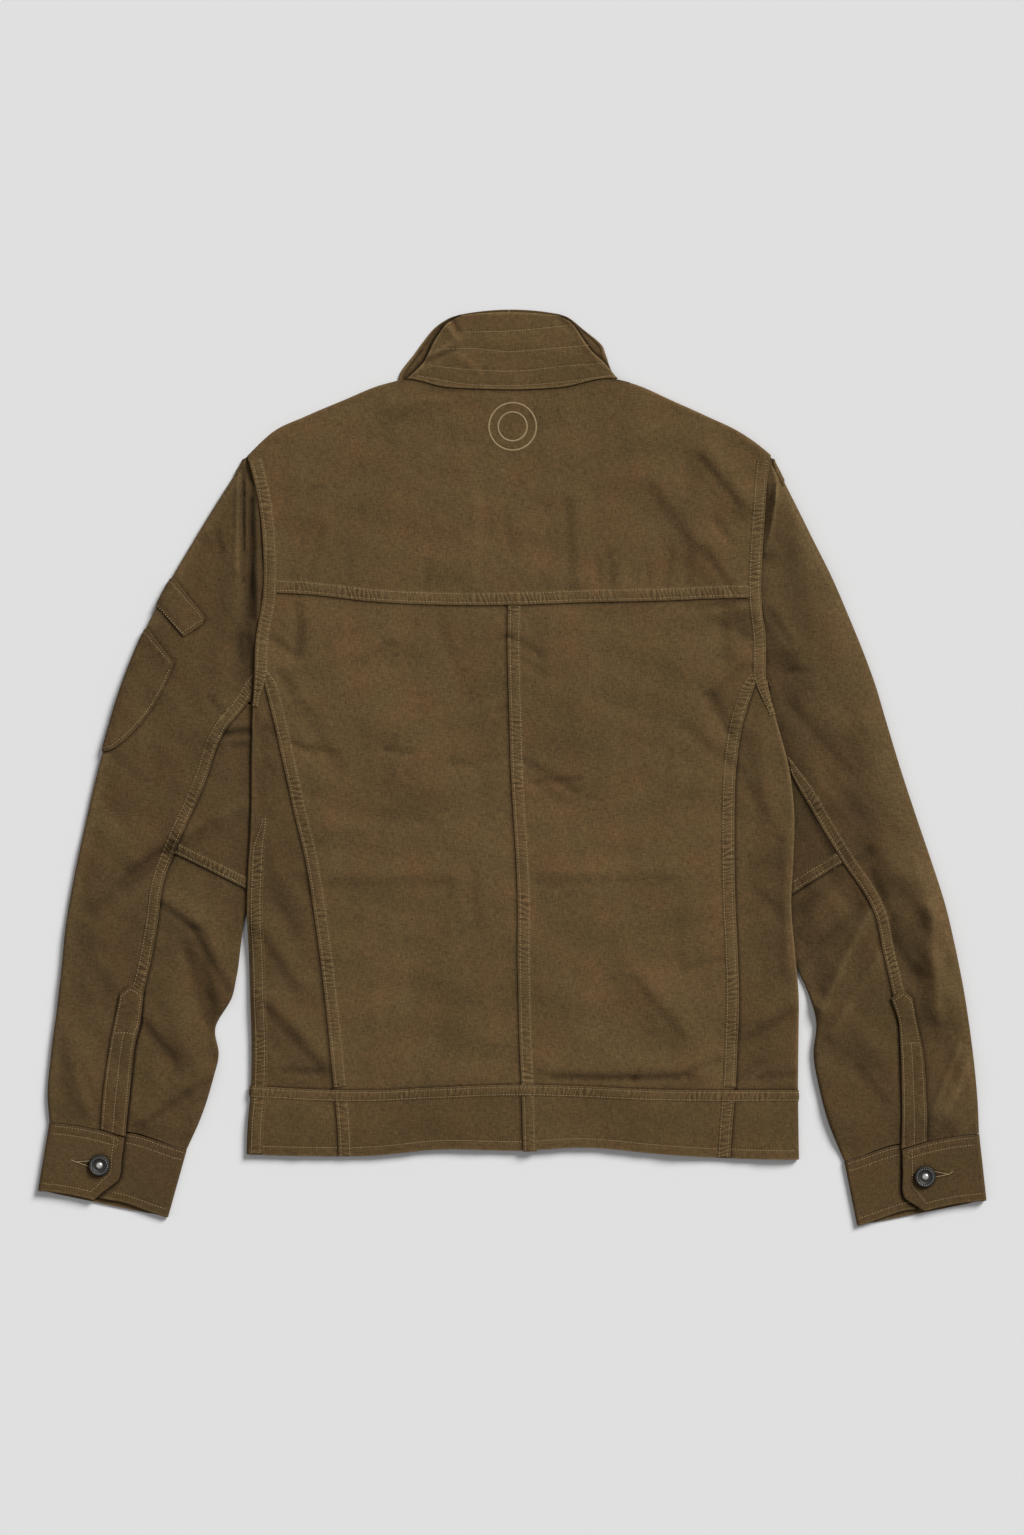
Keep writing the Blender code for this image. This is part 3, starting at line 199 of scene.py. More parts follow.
# The first creases are the solid's own folds, and the rest are the drag lines on them.
BODY_CREASES = creases(
    (172, 270, 203, 232, 12, 3.4), (129, 244, 190, 160, 18, 3.4), (53, 228, 57, 165, 16, 2.4),
    (-104, 315, -60, 322, 12, 2.4), (-165, 209, -176, 168, 12, 2.1), (-126, 96, -104, 113, 12, 2.1),
    (-203, 84, -190, 62, 12, 2.1), (160, 130, 204, 138, 10, 1.9), (201, 92, 178, 66, 12, 3.5),
    (172, 60, 187, 30, 11, -2.4), (-158, -96, -57, -94, 14, 1.7), (24, -92, 135, -92, 14, 2),
    (105, -177, 152, -231, 14, 2.4), (33, -262, 160, -263, 13, 3.6), (-217, -139, -187, -185, 12, 2.8),
    (-210, -203, -163, -256, 13, 3.6), (207, -229, 240, -206, 13, 3.6), (236, -63, 237, -170, 12, 3.4),
    # drag lines of the yoke
    (-165, 209, -176, 165, 4, -1), (-30, 252, -32, 160, 5, 0.7), (-6, 215, 0, 183, 4, -0.7),
    (-74, 177, -77, 154, 4, -1), (-100, 322, -51, 328, 4, -1.2), (164, 268, 195, 228, 4, -1.2),
    (120, 240, 158, 186, 6, -1), (164, 189, 190, 154, 4, -1.2), (175, 215, 190, 195, 4, -1.2),
    (48, 230, 50, 154, 5, -1), (74, 180, 75, 163, 3, -1), (117, 175, 118, 158, 3, -1),
    # centre back panels
    (-184, 125, -186, 96, 5, -1.2), (-130, 90, -106, 107, 4, -1.2), (-202, 82, -191, 64, 4, -1.2),
    (-193, 21, -173, 12, 3, -1.4), (-110, 15, -89, 12, 3, -1.2), (-54, 3, -37, 2, 3, -1),
    (-158, -103, -57, -101, 6, -1), (-34, -92, -32, -139, 5, -0.7), (-4, 113, -10, 110, 2.5, -1.7),
    (-6, 52, -12, 48, 2.5, -1.4), (161, 138, 207, 144, 3, -1.5), (183, 137, 185, 93, 4, -1.1),
    (190, 137, 201, 113, 4, -1), (198, 86, 176, 62, 5, -1.4), (172, 61, 187, 30, 4, -1.4),
    (18, -14, 57, -11, 3, -1.2), (24, -99, 135, -99, 6, -1), (142, -96, 146, -177, 5, -0.7),
    (149, -177, 181, -168, 4, -1), (105, -185, 148, -236, 5, -1), (33, -270, 105, -271, 3.5, -1.9),
    (105, -271, 152, -269, 3.5, -1.7), (152, -266, 178, -255, 4, -1.4),
    # side panels
    (-222, -92, -204, -124, 5, -1.2), (-219, -146, -190, -191, 5, -1.4), (-213, -210, -166, -262, 5, -1.9),
    (-196, -264, -167, -266, 4, -1.4), (-182, -98, -176, -112, 4, -1), (207, -236, 246, -211, 5, -1.9),
    (196, -272, 213, -258, 4, -1.4), (213, -271, 248, -266, 4, -1.2), (232, -64, 233, -179, 5, -1.2),
    (210, -107, 236, -133, 5, -1),
    # broad soft folds
    (114, 291, 78, 184, 18, 1.8), (151, 262, 139, 198, 16, -1.8), (-90, 270, -120, 200, 26, 1.4),
    (-30, 250, -20, 205, 16, -1.3), (40, 120, 70, 20, 24, 1.7), (-120, 60, -60, -20, 26, 1.7),
    (120, -20, 100, -70, 22, -1.5), (-100, -130, -80, -220, 26, -1.7), (60, -120, 50, -230, 24, 1.7),
    (-40, 60, -30, 10, 18, -1.4),
    # short pulls at the seams
    (84, 183, 86, 153, 3.5, -1.1), (96, 176, 97, 154, 3, 0.8), (137, 186, 133, 157, 4, -1.1),
    (150, 180, 152, 158, 3.5, -0.8), (-209, 111, -190, 97, 4, -1.4), (-186, 139, -187, 100, 3.5, -1.3),
    (-197, 77, -153, -2, 7, -1.3), (-176, 17, -153, 11, 3.5, -1.3), (8, 6, 52, -20, 4.5, -1.6),
    (12, -4, 40, -30, 6, -1), (150, 139, 203, 113, 5, -0.7), (150, 33, 194, -2, 6, -1.4),
    (-1, 112, 24, 97, 4, -1.1), (3, 96, 28, 80, 5, -0.7), (-226, -60, -190, -143, 7, -1.6),
    (-212, 30, -216, -40, 6, -1.2), (214, 30, 222, -50, 8, 1.8), (206, -20, 230, -60, 6, -1.2),
    (-60, 118, -40, 60, 7, -0.8), (-150, -40, -70, -50, 8, -1), (70, 60, 120, 40, 8, -1),
    (-190, -30, -176, -70, 6, -1),
)

CANVAS = "5F4C31"
CANVAS_OLIVE = "5C4A2E"
CANVAS_RUST = "624B30"
# A pale tone for rubbed cloth and for painted light, and a dark one for painted shade.
CANVAS_WORN_AND_LIT = "8E7650"
CANVAS_SHADE = "20170C"
THREAD_PITCH = 0.62  # of the canvas, in millimetres
BACK_DYE_AND_SHADE = 0.03  # how much darker than the palest panel, all over: painted shade, with some uneven garment dye
SIDE_DYE_AND_SHADE = 0.2


def canvas(name):
    """Washed cotton canvas: matt, mottled by garment dye, with a visible thread grain and paler ridges.

    The dye blotches are 20 to 150 mm wide. The grain is drawn at a millimetre, coarser than the real threads,
    so that it shows. Mesh marks pale it where rubbed and where light is painted on, and darken it with
    painted shade.
    """
    finish = {"Roughness": 0.92, "Specular IOR Level": 0.05, "Sheen Weight": 0.03, "Sheen Roughness": 0.6}
    material, tree, shader = painted(name, finish)
    place = add(tree, "TexCoord").outputs
    noise = {}
    for label, scale, detail in (
        ("wash", 17, 4), ("dye", 31, 3), ("broad", 7, 2), ("fuzz", 420, 3), ("crumple", 130, 4),
    ):
        made = add(tree, "TexNoise", {"Vector": place["Object"], "Scale": scale, "Detail": detail})
        noise[label] = made.outputs["Fac"]
    wash = add(tree, "MapRange", {"Value": noise["wash"], "From Min": 0.35, "From Max": 0.65})
    dye = add(tree, "MapRange", {"Value": noise["dye"], "From Min": 0.42, "From Max": 0.68})
    # Marks on the meshes: paler where rubbed and where light is painted on, darker where shade is painted.
    worn = add(tree, "Attribute", attribute_name="worn")
    shaded = add(tree, "Attribute", attribute_name="shaded")
    colour = linear(CANVAS)
    for share, tone in (
        (wash.outputs["Result"], CANVAS_OLIVE), (dye.outputs["Result"], CANVAS_RUST),
        (worn.outputs["Fac"], CANVAS_WORN_AND_LIT), (shaded.outputs["Fac"], CANVAS_SHADE),
    ):
        layer = add(tree, "Mix", {"Factor": share, "A": colour, "B": linear(tone)}, data_type="RGBA")
        colour = layer.outputs["Result"]
    turns = math.tau / 20 / (THREAD_PITCH * MM)
    threads, waves = [], []
    for stretch, direction in (((1350, 150, 1), "X"), ((150, 1350, 1), "Y")):
        run = add(tree, "Mapping", {"Vector": place["UV"], "Scale": stretch})
        thread = add(tree, "TexNoise", {"Vector": run.outputs["Vector"], "Scale": 1.0, "Detail": 2.0})
        wave = add(
            tree, "TexWave", {"Vector": place["UV"], "Scale": turns, "Distortion": 0.6},
            bands_direction=direction,
        )
        threads.append(thread.outputs["Fac"])
        waves.append(wave.outputs["Fac"])
    both = add(tree, "Math", {0: threads[0], 1: threads[1]}, operation="ADD").outputs[0]
    grain = add(tree, "Math", {0: both, 1: noise["fuzz"]}, operation="ADD").outputs[0]
    tones = []
    for source, low, high, darkest, palest in (
        (grain, 0.9, 2.1, 0.5, 1.5), (noise["broad"], 0.3, 0.7, 0.91, 1.09),
    ):
        tone = add(
            tree, "MapRange",
            {"Value": source, "From Min": low, "From Max": high, "To Min": darkest, "To Max": palest},
        )
        tones.append(tone.outputs["Result"])
    value = add(tree, "Math", {0: tones[0], 1: tones[1]}, operation="MULTIPLY")
    toned = add(tree, "HueSaturation", {"Color": colour, "Value": value.outputs[0]})
    tree.links.new(toned.outputs["Color"], shader.inputs["Base Color"])
    weave = add(tree, "Math", {0: waves[0], 1: waves[1]}, operation="MULTIPLY").outputs[0]
    below = {}
    for height, strength, distance in (
        (weave, 0.5, 0.00008), (both, 0.5, 0.0005), (noise["crumple"], 0.42, 0.0012),
    ):
        bump = add(tree, "Bump", {"Height": height, "Strength": strength, "Distance": distance, **below})
        below = {"Normal": bump.outputs["Normal"]}
    tree.links.new(below["Normal"], shader.inputs["Normal"])
    return material


washed_canvas = canvas("washed_canvas")


def through(x, y, at):
    """A smooth line through the points (x, y), read at the places `at`."""
    slope = np.gradient(y, x)
    i = np.clip(np.searchsorted(x, at) - 1, 0, len(x) - 2)
    h = x[i + 1] - x[i]
    t = (at - x[i]) / h
    return (
        (1 + 2 * t) * (1 - t) ** 2 * y[i]
        + t * (1 - t) ** 2 * h * slope[i]
        + t**2 * (3 - 2 * t) * y[i + 1]
        + t**2 * (t - 1) * h * slope[i + 1]
    )


def curve(rows, column, at):
    """A smooth line through one column of a table, read at values of its first column."""
    rows = sorted(rows)
    x = np.array([row[0] for row in rows], float)
    y = np.array([getattr(row, column) for row in rows], float)
    return through(x, y, np.clip(np.asarray(at, float), x[0], x[-1]))


def rise(value, start, end):
    """0 before start and 1 past end, with a soft step between them; end may lie below start."""
    t = np.clip((np.asarray(value, float) - start) / (end - start), 0, 1)
    return t * t * (3 - 2 * t)


def fading(away, width):
    """1 on a line, and softly down to nothing over about twice a width."""
    return np.exp(-((away / width) ** 2))


def crease_height(rows, x, y):
    """Height of the creases over the smooth cloth."""
    total = np.zeros(np.broadcast(x, y).shape)
    for crease in rows:
        along_x = crease.x1 - crease.x0
        along_y = crease.y1 - crease.y0
        t = ((x - crease.x0) * along_x + (y - crease.y0) * along_y) / (along_x**2 + along_y**2)
        t = np.clip(t, 0, 1)
        away = np.hypot(x - crease.x0 - t * along_x, y - crease.y0 - t * along_y)
        total += crease.height * fading(away, crease.width)
    return total


def crease_marks(rows, x, y):
    """The narrow creases' crests, rubbed pale and painted light, and their troughs, painted shade: (paler,
    darker).
    """
    total = crease_height([crease for crease in rows if crease.width < 8], x, y)
    return np.clip(0.1 * total, 0, 0.25), np.clip(-0.1 * total, 0, 0.25)


# Length and height of the waves that washing leaves in the cloth.
WAVES = ((90, 0.2), (70, 0.2), (55, 0.17), (44, 0.14), (34, 0.11), (27, 0.08), (22, 0.06), (18, 0.05))


def rumple(x, y, seed):
    """Soft uneven waves of washed cloth, up to about half a millimetre high."""
    draw = np.random.default_rng(seed)
    total = np.zeros(np.broadcast(x, y).shape)
    for length, height in WAVES:
        for _ in range(2):
            turn, phase = draw.uniform(0, math.tau, 2)
            across = x * math.cos(turn) + y * math.sin(turn)
            wander = 1.2 * np.sin((x + y) / (1.7 * length))
            total += height * np.sin(across / length * math.tau + phase + wander)
    return total


class Tube:
    """A flattened tube of cloth: a lower and an upper wall that turn round a soft fold at each side.

    A place on it is (w, p). p is the row, and w runs along the ring from the low edge: positive over the
    top, past the high edge and back underneath, negative underneath.
    """

    def edge(self, end, p):
        return self.high(p) if end else self.low(p)

    def nose(self, end, p):
        """Half height of the side fold and its reach along the row: none above an open armhole."""
        inward = -3.0 if end else 3.0
        at = self.edge(end, p) + inward
        top = self.top(at, p)
        under = self.under(at, p)
        slant = (self.edge(end, p + 1) - self.edge(end, p - 1)) / 2
        half = np.where(self.folded(end, p), (top - under) / 2, 0.0)
        return half, half * np.hypot(1, slant), (top + under) / 2, slant

    def ring(self, w, p):
        """Outer points and outward normals at ring places w on rows p, both arrays of one shape."""
        w, p = np.broadcast_arrays(np.asarray(w, float), np.asarray(p, float))
        low = self.low(p)
        high = self.high(p)
        width = high - low
        over = (w >= 0) & (w <= width)
        a = np.where(w > width, high - (w - width), low + np.abs(w))

        def height(across, along):
            return np.where(over, self.top(across, along), self.under(across, along))

        sheet = height(a, p)
        slope_a = (height(a + 1, p) - height(a - 1, p)) / 2
        slope_p = (height(a, p + 1) - height(a, p - 1)) / 2
        sign = np.where(over, 1.0, -1.0)
        normal = np.stack([-sign * slope_a, -sign * slope_p, sign], -1)
        for end in (0, 1):
            half, reach, middle, slant = self.nose(end, p)
            away = w - width if end else -w
            inside = np.abs(away) < reach
            turn = away / np.where(reach > 0, reach, 1) * math.pi / 2
            out = 1.0 if end else -1.0
            a = np.where(inside, self.edge(end, p) - out * reach * (1 - np.cos(turn)), a)
            sheet = np.where(inside, middle - half * np.sin(turn), sheet)
            long = np.hypot(1, slant)
            folded = np.stack(
                [out * np.cos(turn) / long, -out * slant * np.cos(turn) / long, -np.sin(turn)], -1
            )
            normal = np.where(inside[..., None], folded, normal)
        normal = normal / np.linalg.norm(normal, axis=-1, keepdims=True)
        x, y = self.place(a, p)
        normal[..., 0] *= self.side
        return np.stack([x, y, sheet], -1), normal

    def over(self, x, y):
        """Points and normals of the top of the cloth, from places in the plane."""
        return self.ring(*self.found(x, y))


def shoulder_top(x):
    return curve(SHOULDER, "top", x)


class Body(Tube):
    """The body. Its rows p are heights Y, and a place across is X. It lies on the sleeves below the arms.

    It is clear of each sleeve from the row in `clear` down.
    """

    side = 1.0
    underarm = UNDERARMS
    clear = (-134.0, -178.0)

    def low(self, p):
        return curve(BODY, "left", p)

    def high(self, p):
        return curve(BODY, "right", p)

    def folded(self, end, p):
        return np.asarray(p) < self.underarm[end]

    def over_sleeve(self, end, p):
        """1 on the rows where the edge of the body lies on the sleeve."""
        arm = self.underarm[end]
        off = self.clear[end]
        return rise(p, arm + 36, arm + 2) * rise(p, off - 34, off)

    def place(self, a, p):
        return a, p

    def found(self, x, y):
        return x - self.low(y), y

    def calm(self, a, p):
        """Fades creases out at the side folds and at the shoulder fold."""
        sides = rise(a - self.low(p), 0, 6) * rise(self.high(p) - a, 0, 6)
        return sides * rise(shoulder_top(a) - p, 3, 14)

    def under(self, a, p):
        lift = THIN + GAP
        left = self.over_sleeve(0, p) * rise(a - self.low(p), 30, 13)
        right = self.over_sleeve(1, p) * rise(self.high(p) - a, 32, 15)
        return lift * (left + right)

    def top(self, a, p):
        over = THIN + GAP + THIN - LOFT
        left = self.over_sleeve(0, p) * rise(a - self.low(p), 42, 12)
        right = self.over_sleeve(1, p) * rise(self.high(p) - a, 42, 12)
        worked = crease_height(BODY_CREASES, a, p) + 1.3 * rumple(a, p, 3)
        height = LOFT + over * (left + right) + worked * self.calm(a, p)
        return np.maximum(height, self.under(a, p) + LEAST)


body = Body()

# A station is a line along a panel: its ring place on row p, and the grid spacing up to the next one.
Station = namedtuple("Station", "at spacing", defaults=(ACROSS,))
# A border ends a panel across its rows: the row near it, and its row at a place across.
Border = namedtuple("Border", "near at")


def level(row):
    return Border(row, lambda a: np.full(np.shape(a), float(row)))


def cross_border(column, near, shift):
    return Border(near, lambda a: curve(CROSS, column, a) + shift)


def panel_grid(tube, stations, lower, upper, spacing):
    """Outer points, normals and cut places (w, p) of a panel between its stations and its two borders."""
    middle = (lower.near + upper.near) / 2
    lines = []
    for first, second in zip(stations, stations[1:]):
        steps = max(1, round(float(second.at(middle) - first.at(middle)) / first.spacing))
        lines += [(first, second, k / steps) for k in range(steps)]
    lines.append((stations[-1], stations[-1], 0.0))
    count = max(2, round((upper.near - lower.near) / spacing))
    ws, ps = [], []
    for first, second, share in lines:
        ends = []
        for border in (lower, upper):
            p = np.array(float(border.near))
            for _ in range(3):
                w = (1 - share) * first.at(p) + share * second.at(p)
                width = tube.high(p) - tube.low(p)
                p = border.at(np.where(w > width, tube.high(p) - (w - width), tube.low(p) + np.abs(w)))
            ends.append(float(p))
        p = np.linspace(ends[0], ends[1], count + 1)
        ws.append((1 - share) * first.at(p) + share * second.at(p))
        ps.append(p)
    w, p = np.array(ws), np.array(ps)
    return *tube.ring(w, p), np.stack([w, p], -1)


def cloth(name, outer, normal, cut, material, wall=WALL, worn=None, shaded=None, keep=None, dye=0.0):
    """A closed sheet of cloth from a grid of outer points, with its wall on the inside."""
    # The dye value darkens the whole piece evenly: painted shade for pieces that lie lower and turn from the
    # light, with some uneven garment dye.
    shaded = dye + (np.zeros(outer.shape[:2]) if shaded is None else shaded)
    across = outer[1:, :-1] - outer[:-1, :-1]
    along = outer[:-1, 1:] - outer[:-1, :-1]
    facing = (np.cross(across, along) * normal[:-1, :-1]).sum(-1)
    if np.median(facing) < 0:
        outer, normal, cut = outer[::-1], normal[::-1], cut[::-1]
        worn = None if worn is None else worn[::-1]
        shaded = shaded[::-1]
        keep = None if keep is None else keep[::-1]
    columns, rows = outer.shape[:2]
    grid = bpy.ops.mesh.primitive_grid_add
    piece = started(name, grid, x_subdivisions=columns - 1, y_subdivisions=rows - 1, size=1)
    mesh = piece.data
    mesh.vertices.foreach_set("co", (outer.transpose(1, 0, 2) * MM).ravel())
    corners = np.empty(len(mesh.loops), int)
    mesh.loops.foreach_get("vertex_index", corners)
    flat = cut.transpose(1, 0, 2).reshape(-1, 2) * MM
    mesh.uv_layers[0].data.foreach_set("uv", flat[corners].ravel())
    for label, values in (("worn", worn), ("shaded", shaded)):
        if values is not None:
            mark = mesh.attributes.new(label, "FLOAT", "POINT")
            mark.data.foreach_set("value", np.ascontiguousarray(values.T, float).ravel())
    if keep is not None:
        bpy.ops.object.mode_set(mode="EDIT")
        bpy.ops.mesh.select_mode(type="FACE")
        bpy.ops.mesh.select_all(action="DESELECT")
        bpy.ops.object.mode_set(mode="OBJECT")
        mesh.polygons.foreach_set("select", ~keep.T.ravel())
        bpy.ops.object.mode_set(mode="EDIT")
        bpy.ops.mesh.delete(type="FACE")
        bpy.ops.object.mode_set(mode="OBJECT")
    mesh.materials.append(material)
    solid = piece.modifiers.new("wall", "SOLIDIFY")
    solid.thickness = wall * MM
    solid.offset = -1
    bpy.ops.object.modifier_apply(modifier="wall")
    places = np.empty(3 * len(mesh.vertices))
    mesh.vertices.foreach_get("co", places)
    places[2::3] = np.maximum(places[2::3], 0)
    mesh.vertices.foreach_set("co", places)
    bpy.ops.object.shade_smooth_by_angle(angle=math.radians(50))
    return piece


def laid(piece, node, slot, outer, pieces=(), keep=None):
    across = np.linalg.norm(np.diff(outer, axis=0), axis=-1)
    along = np.linalg.norm(np.diff(outer, axis=1), axis=-1)
    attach(piece, "root")
    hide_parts(node)
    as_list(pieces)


def back_seam(column, shift=0.0):
    """Ring place of a lengthwise seam of the back."""
    return lambda p: curve(SEAMS, column, p) + shift - body.low(p)


def armhole_or_princess(end, shift):
    """Ring place of a centre back panel's outer edge, where the armhole meets the princess seam."""
    column = "right" if end else "left"

    def at(p):
        edge = body.edge(end, p) + shift
        line = curve(SEAMS, column, p) + shift
        return (np.minimum(edge, line) if end else np.maximum(edge, line)) - body.low(p)

    return at


def left_side_seam(shift):
    """The left side seam, just under the edge fold from the underarm down."""
    return lambda p: np.where(np.asarray(p) < body.underarm[0], -SEAM_UNDER, 0.0) + shift


def right_side_seam(shift, side):
    """The right side seam, underneath: from the underarm it runs in to the side turn."""

    def at(p):
        width = body.high(p) - body.low(p)
        turned = SEAM_UNDER + (SIDE_TURN - SEAM_UNDER) * rise(p, body.underarm[1], 10) + shift
        return width + np.where(np.asarray(p) < body.underarm[1], turned, abs(shift) * side)

    return at


def low_nose(share):
    return lambda p: share * np.maximum(body.nose(0, p)[1], 0.5)


def high_nose(share):
    """A line round the right fold; beside the open armhole it keeps just inside the edge."""

    def at(p):
        width = body.high(p) - body.low(p)
        inside = width - HALF - 0.5 * (2 - share)
        return np.where(body.folded(1, p), width + share * body.nose(1, p)[1], inside)

    return at


def past(base, least):
    """A station at `least` along the ring, or just past the one before it where that lies further on."""
    return lambda p: np.maximum(base(p) + 0.5, least(p))


def left_side_stations(last):
    seam = left_side_seam(HALF)
    inside = past(seam, low_nose(-1.0))
    middle = past(inside, low_nose(0.0))
    return [
        Station(seam, 1.0), Station(inside, 0.9), Station(middle, 0.9),
        Station(past(middle, low_nose(1.0))), Station(last),
    ]


def right_side_stations(first):
    return [
        Station(first), Station(high_nose(-1.0), 0.9), Station(high_nose(1.0), 6.0),
        Station(right_side_seam(-HALF, -1)),
    ]


def near_line(x, y, points):
    """Distance in the plane from each place (x, y) to a broken line."""
    least = np.full(np.shape(x), 1e6)
    for (x0, y0), (x1, y1) in zip(points, points[1:]):
        along_x, along_y = x1 - x0, y1 - y0
        t = np.clip(((x - x0) * along_x + (y - y0) * along_y) / (along_x**2 + along_y**2 + 1e-9), 0, 1)
        least = np.minimum(least, np.hypot(x - x0 - t * along_x, y - y0 - t * along_y))
    return least


def shade_round(piece, points, depth, width):
    """Darkens a finished piece beside a line in the plane, where the edge of another one lies on it."""
    mesh = piece.data
    places = np.empty(len(mesh.vertices) * 3)
    mesh.vertices.foreach_get("co", places)
    x, y, z = places.reshape(-1, 3).T / MM
    mark = mesh.attributes["shaded"].data
    values = np.empty(len(mark))
    mark.foreach_get("value", values)
    values += depth * fading(near_line(x, y, points), width) * (z > 1.0)
    mark.foreach_set("value", values)


def line_shade(x, y, lines):
    """Painted shade beside folded edges that stand over the cloth: lines are (place along x of the edge, side
    that is dark).
    """
    total = np.zeros(np.shape(x))
    for edge, side in lines:
        away = side * (x - edge)
        total += 0.55 * fading(away, 1.5) * (away > -0.5)
    return total


def seam_lines(y):
    """The lengthwise seams of the back, each with its side that is dark."""
    return [(curve(SEAMS, name, y), side) for name, side in (("left", -1), ("centre", -1), ("right", 1))]


band_up = cross_border("band", -278, HALF)
yoke_down = cross_border("yoke", 145, -HALF)
back_panels = {}
for name, stations, top_border in (
    ("back_left", [Station(armhole_or_princess(0, HALF)), Station(back_seam("centre", -HALF))], yoke_down),
    ("back_right", [Station(back_seam("centre", HALF)), Station(armhole_or_princess(1, -HALF))], yoke_down),
    ("back_side_left", left_side_stations(back_seam("left", -HALF)), level(PRINCESS_TOP)),
    ("back_side_right", right_side_stations(back_seam("right", HALF)), level(PRINCESS_TOP)),
):
    outer, normal, cut = panel_grid(body, stations, band_up, top_border, ROW)
    x, y = outer[..., 0], outer[..., 1]
    # Painted shade beside the folded edges of the seams, the yoke and the hem band, which stand over the
    # panel.
    dark = line_shade(x, y, seam_lines(y))
    dark += line_shade(y, x, ((curve(CROSS, "yoke", x), -1), (curve(CROSS, "band", x), 1)))
    fold = np.minimum(x - body.low(y), body.high(y) - x)
    rubbed = 0.45 * fading(fold, 1.6) * (normal[..., 2] > -0.2)
    crests, troughs = crease_marks(BODY_CREASES, x, y)
    # Side panels are darker all over than the centre ones: painted shade, with some uneven garment dye.
    dye = SIDE_DYE_AND_SHADE if "side" in name else BACK_DYE_AND_SHADE
    piece = cloth(
        f"canvas_{name}", outer, normal, cut, washed_canvas, worn=rubbed + crests, shaded=dark + troughs,
        dye=dye,
    )
    back_panels[name] = (piece, outer)

# === Felled seams of the back =========================================================================
# Each seam's allowances are folded into one another and sewn down flat with two rows of thread. The
# thread draws the strip up into short cross puckers, whose tops are rubbed pale.

SEAM_ROWS = (2.7, 10.0)  # the two rows of thread, from the folded edge
SEAM_WIDTH = 12.4
SEAM_COLUMNS = (0, 0.3, 0.9, 1.9, 2.7, 3.5, 4.9, 6.4, 7.9, 9.2, 10.0, 10.8, 11.6, 12.4)
SEAM_STEP = 1.05
STRIP_FOOT = -277.5  # row where the strips of the back run in under the hem band
FELL = 0.7  # a strip's height over the panel
SUNK = -0.35  # its inner edge runs out below the panel's surface
PUCKER = 3.9  # length of one pucker
PULL = 0.34  # and its height
PUFF = 0.16  # how far a strip stands up between its rows of thread
GROOVE = 0.2  # and how deep the rows are drawn in
CROSSING = 0.5  # how far a strip is lifted by another seam below it
STITCH = 2.4  # from one stitch to the next
STITCH_HALF = (0.66, 0.42, 0.34)
THREAD = "A8926A"
THREAD_DYED = "84704C"


def trace(points, step=SEAM_STEP):
    """A smooth line through places in the plane, with a point at each step: (x, y, distance along it)."""
    points = np.array(points, float)
    chord = np.concatenate([[0], np.cumsum(np.linalg.norm(np.diff(points, axis=0), axis=1))])
    fine = np.linspace(0, chord[-1], max(3, int(chord[-1] * 2)))
    x = through(chord, points[:, 0], fine)
    y = through(chord, points[:, 1], fine)
    run = np.concatenate([[0], np.cumsum(np.hypot(np.diff(x), np.diff(y)))])
    s = np.linspace(0, run[-1], max(3, round(run[-1] / step) + 1))
    return np.interp(s, run, x), np.interp(s, run, y), s


def beside(x, y, away):
    """The line moved sideways, to its left where away is positive."""
    run_x, run_y = np.gradient(x), np.gradient(y)
    long = np.hypot(run_x, run_y)
    return x - away * run_y / long, y + away * run_x / long


def puckers(s, t, seed, rows):
    """Cross puckers between two rows of thread, from -1 to 1: uneven, and leaning a little."""
    wander = s + 0.25 * t + 2.1 * np.sin(s / 17 + seed) + 1.3 * np.sin(s / 6.1 + 2.3 * seed)
    wander = wander + 0.7 * np.sin(s / 3.1 + 0.5 * t + 4.1 * seed)
    strength = 0.55 + 0.3 * np.sin(s / 23 + 1.7 * seed) + 0.3 * np.sin(s / 8.3 + seed)
    reach = rise(t, -0.6, rows[0]) * rise(t, rows[-1] + 3.5, rows[-1])
    return np.sin(wander / PUCKER * math.tau) * strength * reach


def fell(s, t, seed, rows, width, pull, bulk):
    """Height of a felled strip over its panel, how far it is rubbed pale, and the shade painted in its pucker
    troughs and rows.
    """
    edge = np.sqrt(1 - (1 - np.clip(t / 0.8, 0, 1)) ** 2)
    plateau = rise(t, width, rows[-1] + 0.4)
    wave = puckers(s, t, seed, rows)
    grooves = sum(fading(t - row, 0.6) for row in rows)
    lift = sum(CROSSING * rise(s, start - 3, start) * rise(s, end + 3, end) for start, end in bulk)
    puff = PUFF * np.sin(math.pi * np.clip((t - rows[0]) / (rows[-1] - rows[0] + 1e-9), 0, 1))
    height = (FELL + puff + lift) * edge * plateau + SUNK * (1 - plateau) - GROOVE * grooves * plateau
    flat = rise(t, width - 0.6, rows[-1] - 0.6) * edge
    rubbed = np.clip((0.05 + 0.26 * wave) * flat, 0, 1)
    return height + pull * wave * edge, rubbed, np.clip(-0.34 * wave + 0.1 * grooves, 0, 1) * flat


